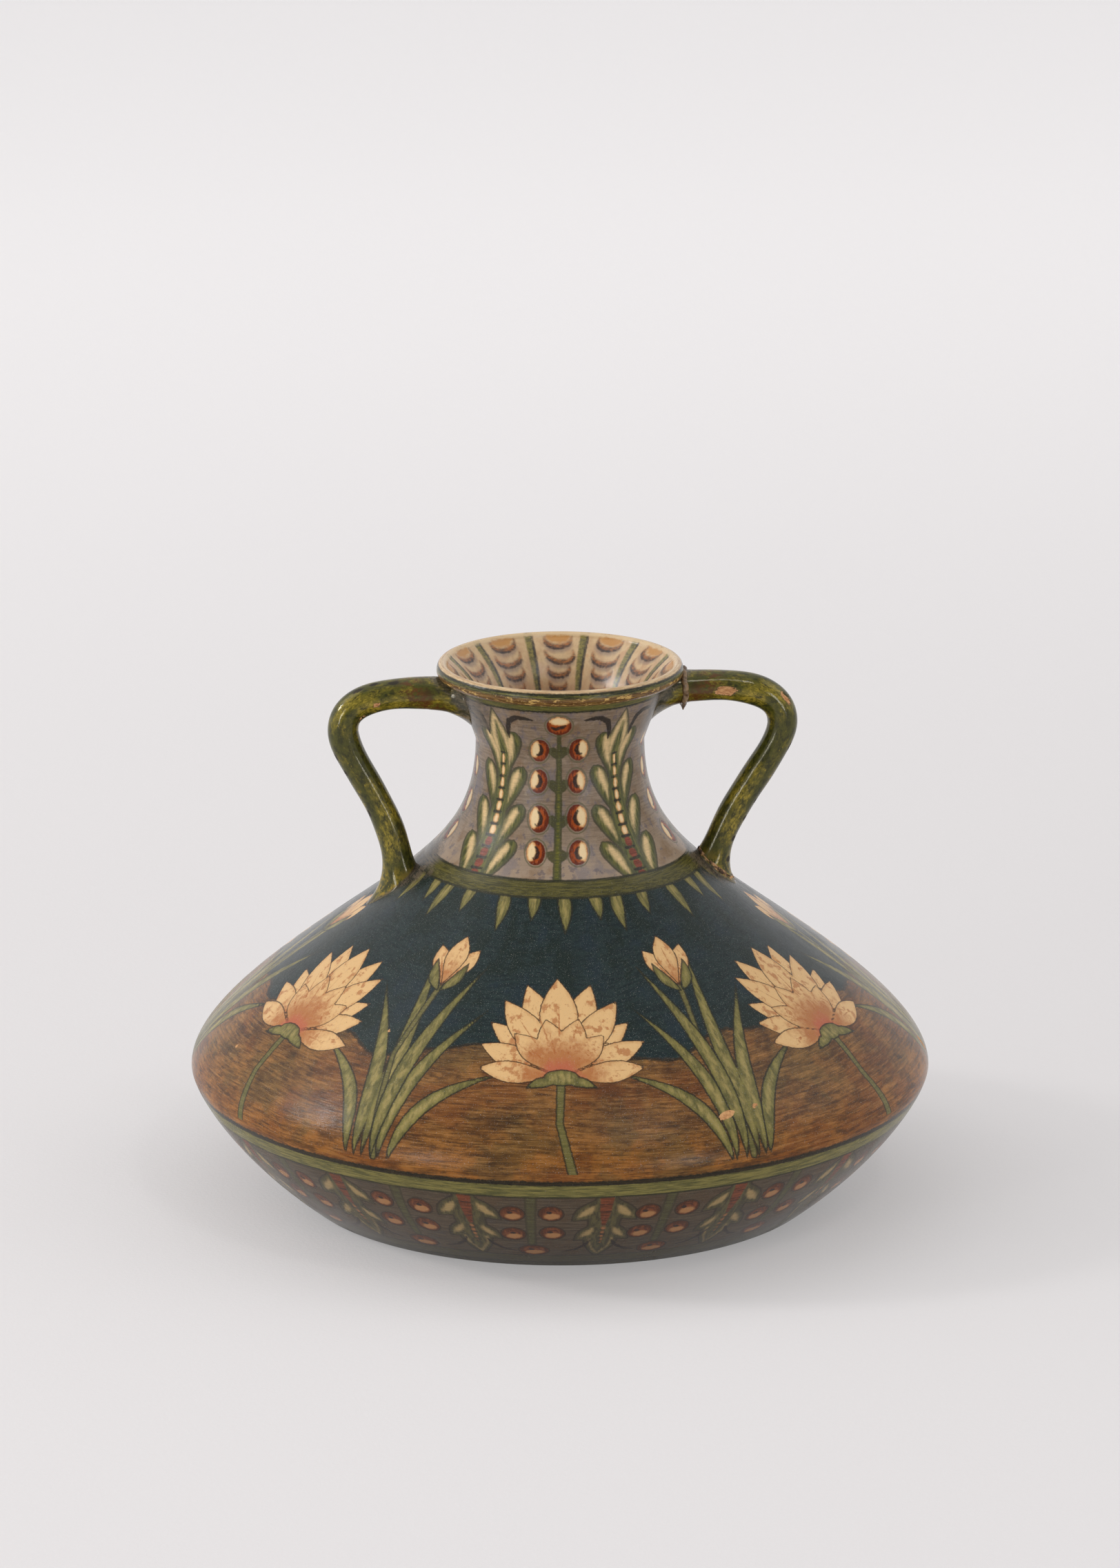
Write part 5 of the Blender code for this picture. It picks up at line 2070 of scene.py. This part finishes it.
@dataclass
class Handles:
    """Both handles, the clay that joins them to the vase and the glue of the old repair.

    Breaks and glue start and end at millimetres from the vase's axis at the root, and at
    millimetres outside its wall at the foot.
    """

    root_break: Point = (39.4, 40.4)
    foot_break: Point = (1.25, 0.85)
    root_glue: Point = (38.9, 41.0)
    foot_glue: Point = (1.7, 0.5)

    def __post_init__(self) -> None:
        """Make the materials."""
        self.glaze = OliveGlaze().material()
        self.glue = Adhesive().material()
        self.clay = BareClay("broken_clay", (62, 44, 30), 300.0).material()

    def left(self) -> None:
        """The whole handle, of one piece with its joins."""
        rod = PulledHandle(LEFT, chips=(Scar(0.305, 4.4, 0.9, 0.7), Scar(0.37, 3.9, 1.2, 0.5)),
                           spots=(Scar(0.25, -0.5, 1.6, 0.8), Scar(0.30, -0.3, 1.2, 0.7),
                                  Scar(0.34, -0.4, 1.4, 0.7), Scar(0.51, -0.35, 1.2, 0.7),
                                  Scar(0.56, -0.45, 1.0, 0.8), Scar(0.70, -0.5, 1.4, 0.6)))
        columns = np.zeros(rod.columns)
        made = rod.piece("left_pulled_handle", columns, columns + rod.rows - 1, self.glaze)
        place(made, "olive_glaze", "left_handle", "left_upper_lute", "left_lower_lute")

    def right(self) -> None:
        """The glued handle: its root stub, the rod, its landing, and the glue at both breaks."""
        rod = PulledHandle(RIGHT, chips=(Scar(0.245, 4.55, 3.3, 1.7), Scar(0.405, 5.6, 1.7, 1.1)),
                           spots=(Scar(0.895, -0.6, 1.0, 1.2), Scar(0.83, -0.6, 1.1, 1.2),
                                  Scar(0.76, -0.55, 1.0, 1.0), Scar(0.70, -0.5, 0.9, 0.7),
                                  Scar(0.52, -0.45, 1.3, 0.7)))
        points, share, _ = rod.surface
        out, first = points[:, 0], np.zeros(rod.columns)
        gap = np.where(share > 0.5, rod.gap, 50.0)
        root_end, rod_start = (rod.crossing(out, level, False) for level in self.root_break)
        rod_end, landing_start = (rod.crossing(gap, level, True) for level in self.foot_break)
        made = rod.piece("right_root_stub", first, root_end, self.glaze)
        place(made, "olive_glaze", "right_upper_lute")
        made = rod.piece("right_pulled_handle", rod_start, rod_end, self.glaze)
        place(made, "olive_glaze", "right_handle")
        made = rod.piece("right_landing", landing_start, first + rod.rows - 1, self.glaze)
        place(made, "olive_glaze", "right_lower_lute")
        self.glue_ring(*rod.sleeve(*(rod.crossing(out, level, False) for level in self.root_glue), 24))
        self.glue_seam(*rod.sleeve(*(rod.crossing(gap, level, True) for level in self.foot_glue), 16))

    def glue_ring(self, ring: Array, away: Array, way: Array, turn: Array) -> None:
        """Bead of old glue round the root, lumpy, with a drop hanging from it.

        It stands off the rod by the root of 1 - way^2, times 0.85 mm and lumps of three sines
        round it, and under the rod by a bell curve 1.5 mm deep.

        Args:
            ring: Points of the rod by ring and column.
            away: Directions out of the rod.
            way: Way along, from -1 to 1.
            turn: Turn round the rod.
        """
        lump = 0.28 * np.sin(5 * turn + 1.0) + 0.18 * np.sin(11 * turn) + 0.12 * np.sin(17 * turn + 4 * way)
        under = np.exp(-((turn - math.pi - 0.25) / 0.24) ** 2)
        swell = np.sqrt(np.clip(1 - way ** 2, 0, 1)) * (0.85 + lump)
        swell = swell + under * np.exp(-(way / 0.55) ** 2) * 1.5
        shape = ring + away * swell[..., None]
        shape[..., 0] += 0.25 * np.sin(3 * turn + 0.6) + 0.12 * np.sin(9 * turn)
        made = rod_mesh("root_glue_bead", shape.reshape(-1, 3), turn.size, self.glue)
        place(made, "repair_glue", "upper_glue_bead")

    def glue_seam(self, ring: Array, away: Array, way: Array, turn: Array) -> None:
        """Broken clay and glue that show as a ragged line between the handle and its landing.

        It stands off the rod by the root of 1 - way^2, times 0.05 mm and ragged bits of 0.3 mm.

        Args:
            ring: Points of the rod by ring and column.
            away: Directions out of the rod.
            way: Way along, from -1 to 1.
            turn: Turn round the rod.
        """
        ragged = 0.5 * np.sin(4 * turn + 0.5) + 0.35 * np.sin(9 * turn + 2 * way) + 0.25 * np.sin(19 * turn)
        swell = np.sqrt(np.clip(1 - way ** 2, 0, 1)) * (0.05 + 0.30 * np.clip(ragged, -0.9, 1.0))
        shape = ring + away * swell[..., None]
        made = rod_mesh("landing_broken_seam", shape.reshape(-1, 3), turn.size, self.clay)
        place(made, "repair_glue", "lower_glue_seam")


# ---------------------------------------------------------------- studio


@dataclass(frozen=True)
class Lamp:
    """A soft lamp that faces the vase, at angles in degrees seen from the camera's side.

    Distance and size, its width, are in metres, power is in watts, and tall is height over width.
    """

    name: str
    azimuth: float
    elevation: float
    distance: float
    size: float
    power: float
    tall: float = 1.0

    def hang(self) -> None:
        """Put the lamp in the scene, a little above the middle of the vase's height."""
        light = bpy.data.lights.new(self.name, "AREA")
        light.shape = "RECTANGLE"
        light.size = self.size
        light.size_y = self.size * self.tall
        light.energy = self.power
        made = bpy.data.objects.new(self.name, light)
        turn, lift = math.radians(self.azimuth + FRONT), math.radians(self.elevation)
        away = self.distance * math.cos(lift)
        made.location = (away * math.sin(turn), -away * math.cos(turn), self.distance * math.sin(lift) + 0.06)
        made.rotation_euler = (math.radians(90 - self.elevation), 0.0, turn)
        bpy.context.scene.collection.objects.link(made)


@dataclass
class Studio:
    """Pale floor that sweeps up into a backdrop, soft lamps, and a camera on a 36 mm high sensor.

    The lens is in millimetres, and the camera's place in metres and degrees.
    """

    floor_tone: Colour = (230, 227, 227)
    grain_tone: Colour = (237, 234, 234)
    seen_tone: Colour = (198, 194, 194)
    glow: float = 0.315
    glow_far: float = 0.26
    lamps: tuple[Lamp, ...] = (
        Lamp("left_window", -88.0, 31.0, 1.6, 0.24, 5.0), Lamp("right_window", 34.0, 54.0, 2.1, 0.28, 2.2),
        Lamp("left_strip", -40.0, 11.0, 2.0, 0.18, 4.7, 4.0),
        Lamp("right_strip", 38.0, 8.0, 2.0, 0.18, 4.2, 4.0), Lamp("overhead", 180.0, 84.0, 2.2, 2.0, 5.0),
        Lamp("right_softbox", 96.0, 42.0, 2.0, 1.1, 2.8), Lamp("left_softbox", -100.0, 48.0, 2.0, 1.1, 4.6))
    lens: float = 176.05
    camera_distance: float = 2.3847
    camera_height: float = 0.798
    look_down: float = 15.54

    def floor(self) -> None:
        """Floor and backdrop in one sheet: level, then a quarter circle, then upright.

        Only for the camera and in mirrored or clear surfaces, the sheet is darker but glows, more
        so the farther back it is, which makes the shadows on it pale. On the vase it sheds no other
        light than its paper does.
        """
        bend = np.linspace(0, math.pi / 2, 24)
        run = np.concatenate([[-3400.0], 2700 + 900 * np.sin(bend), [3600.0]])
        rise = np.concatenate([[0.0], 900 * (1 - np.cos(bend)), [4600.0]])
        x = np.linspace(-4000, 4000, 9)
        points = np.stack([np.tile(x, len(run)), np.repeat(run, len(x)), np.repeat(rise, len(x))], axis=-1)
        faces = grid_faces(len(run), len(x), round_columns=False)
        graph = Graph("studio_paper")
        place_at = graph.position()
        grain = graph.noise(place_at, 700.0, 2.0, 0.6)
        rays = graph.add("ShaderNodeLightPath").outputs
        seen = Signal(graph, rays["Is Camera Ray"])
        for kind in ("Is Glossy Ray", "Is Transmission Ray"):
            seen = seen.at_least(Signal(graph, rays[kind]))
        tone = graph.coats(
            self.floor_tone, (grain.rise(0.3, 0.7), self.grain_tone), (seen, self.seen_tone))
        graph.finish(tone, 0.9, grain, 0.1, Specular_IOR_Level=0.2)
        back = graph.parts(place_at)[1]
        graph.feed(graph.shader.inputs["Emission Color"], (236, 235, 236))
        graph.feed(graph.shader.inputs["Emission Strength"],
                   seen * (back.rise(0.15, 1.7) * self.glow_far + self.glow))
        sheet = make_mesh("studio_sweep", points, faces, None, [graph.material])

    def world(self) -> None:
        """A room that is brighter at its sides and behind the vase than in front and above."""
        world = bpy.data.worlds.new("studio_room")
        world.use_nodes = True
        graph = Graph("studio_room_light", world.node_tree)
        across, back, _ = graph.parts(graph.add("ShaderNodeTexCoord").outputs["Generated"])
        sides = across.rise(-0.40, -0.98) * 0.66 + across.rise(0.40, 0.98) * 0.44
        light = sides + back.rise(0.05, 0.95) * 0.42 + 0.38
        background = world.node_tree.nodes["Background"]
        background.inputs["Color"].default_value = (1.0, 1.0, 1.0, 1.0)
        graph.feed(background.inputs["Strength"], light)
        bpy.context.scene.world = world

    def camera(self) -> None:
        """The camera at the photograph's place, a little left of the vase's front."""
        lens = bpy.data.cameras.new("photo_camera")
        lens.sensor_fit = "VERTICAL"
        lens.sensor_height = 36.0
        lens.lens = self.lens
        made = bpy.data.objects.new("photo_camera", lens)
        turn = math.radians(FRONT)
        made.location = (self.camera_distance * math.sin(turn), -self.camera_distance * math.cos(turn),
                         self.camera_height)
        made.rotation_euler = (math.radians(90 - self.look_down), 0.0, turn)
        bpy.context.scene.collection.objects.link(made)
        bpy.context.scene.camera = made

    def build(self) -> None:
        """Set up the whole studio."""
        self.floor()
        self.world()
        for lamp in self.lamps:
            lamp.hang()
        self.camera()
        bpy.context.scene.view_settings.view_transform = "Standard"


def main() -> None:
    """Build the vase, its handles and the studio."""
    logging.basicConfig(level=logging.INFO, format="%(name)s %(message)s")
    vase = Vase()
    vase.base()
    vase.shoulder()
    vase.neck()
    handles = Handles()
    handles.left()
    handles.right()
    Studio().build()


if __name__ == "__main__":
    main()
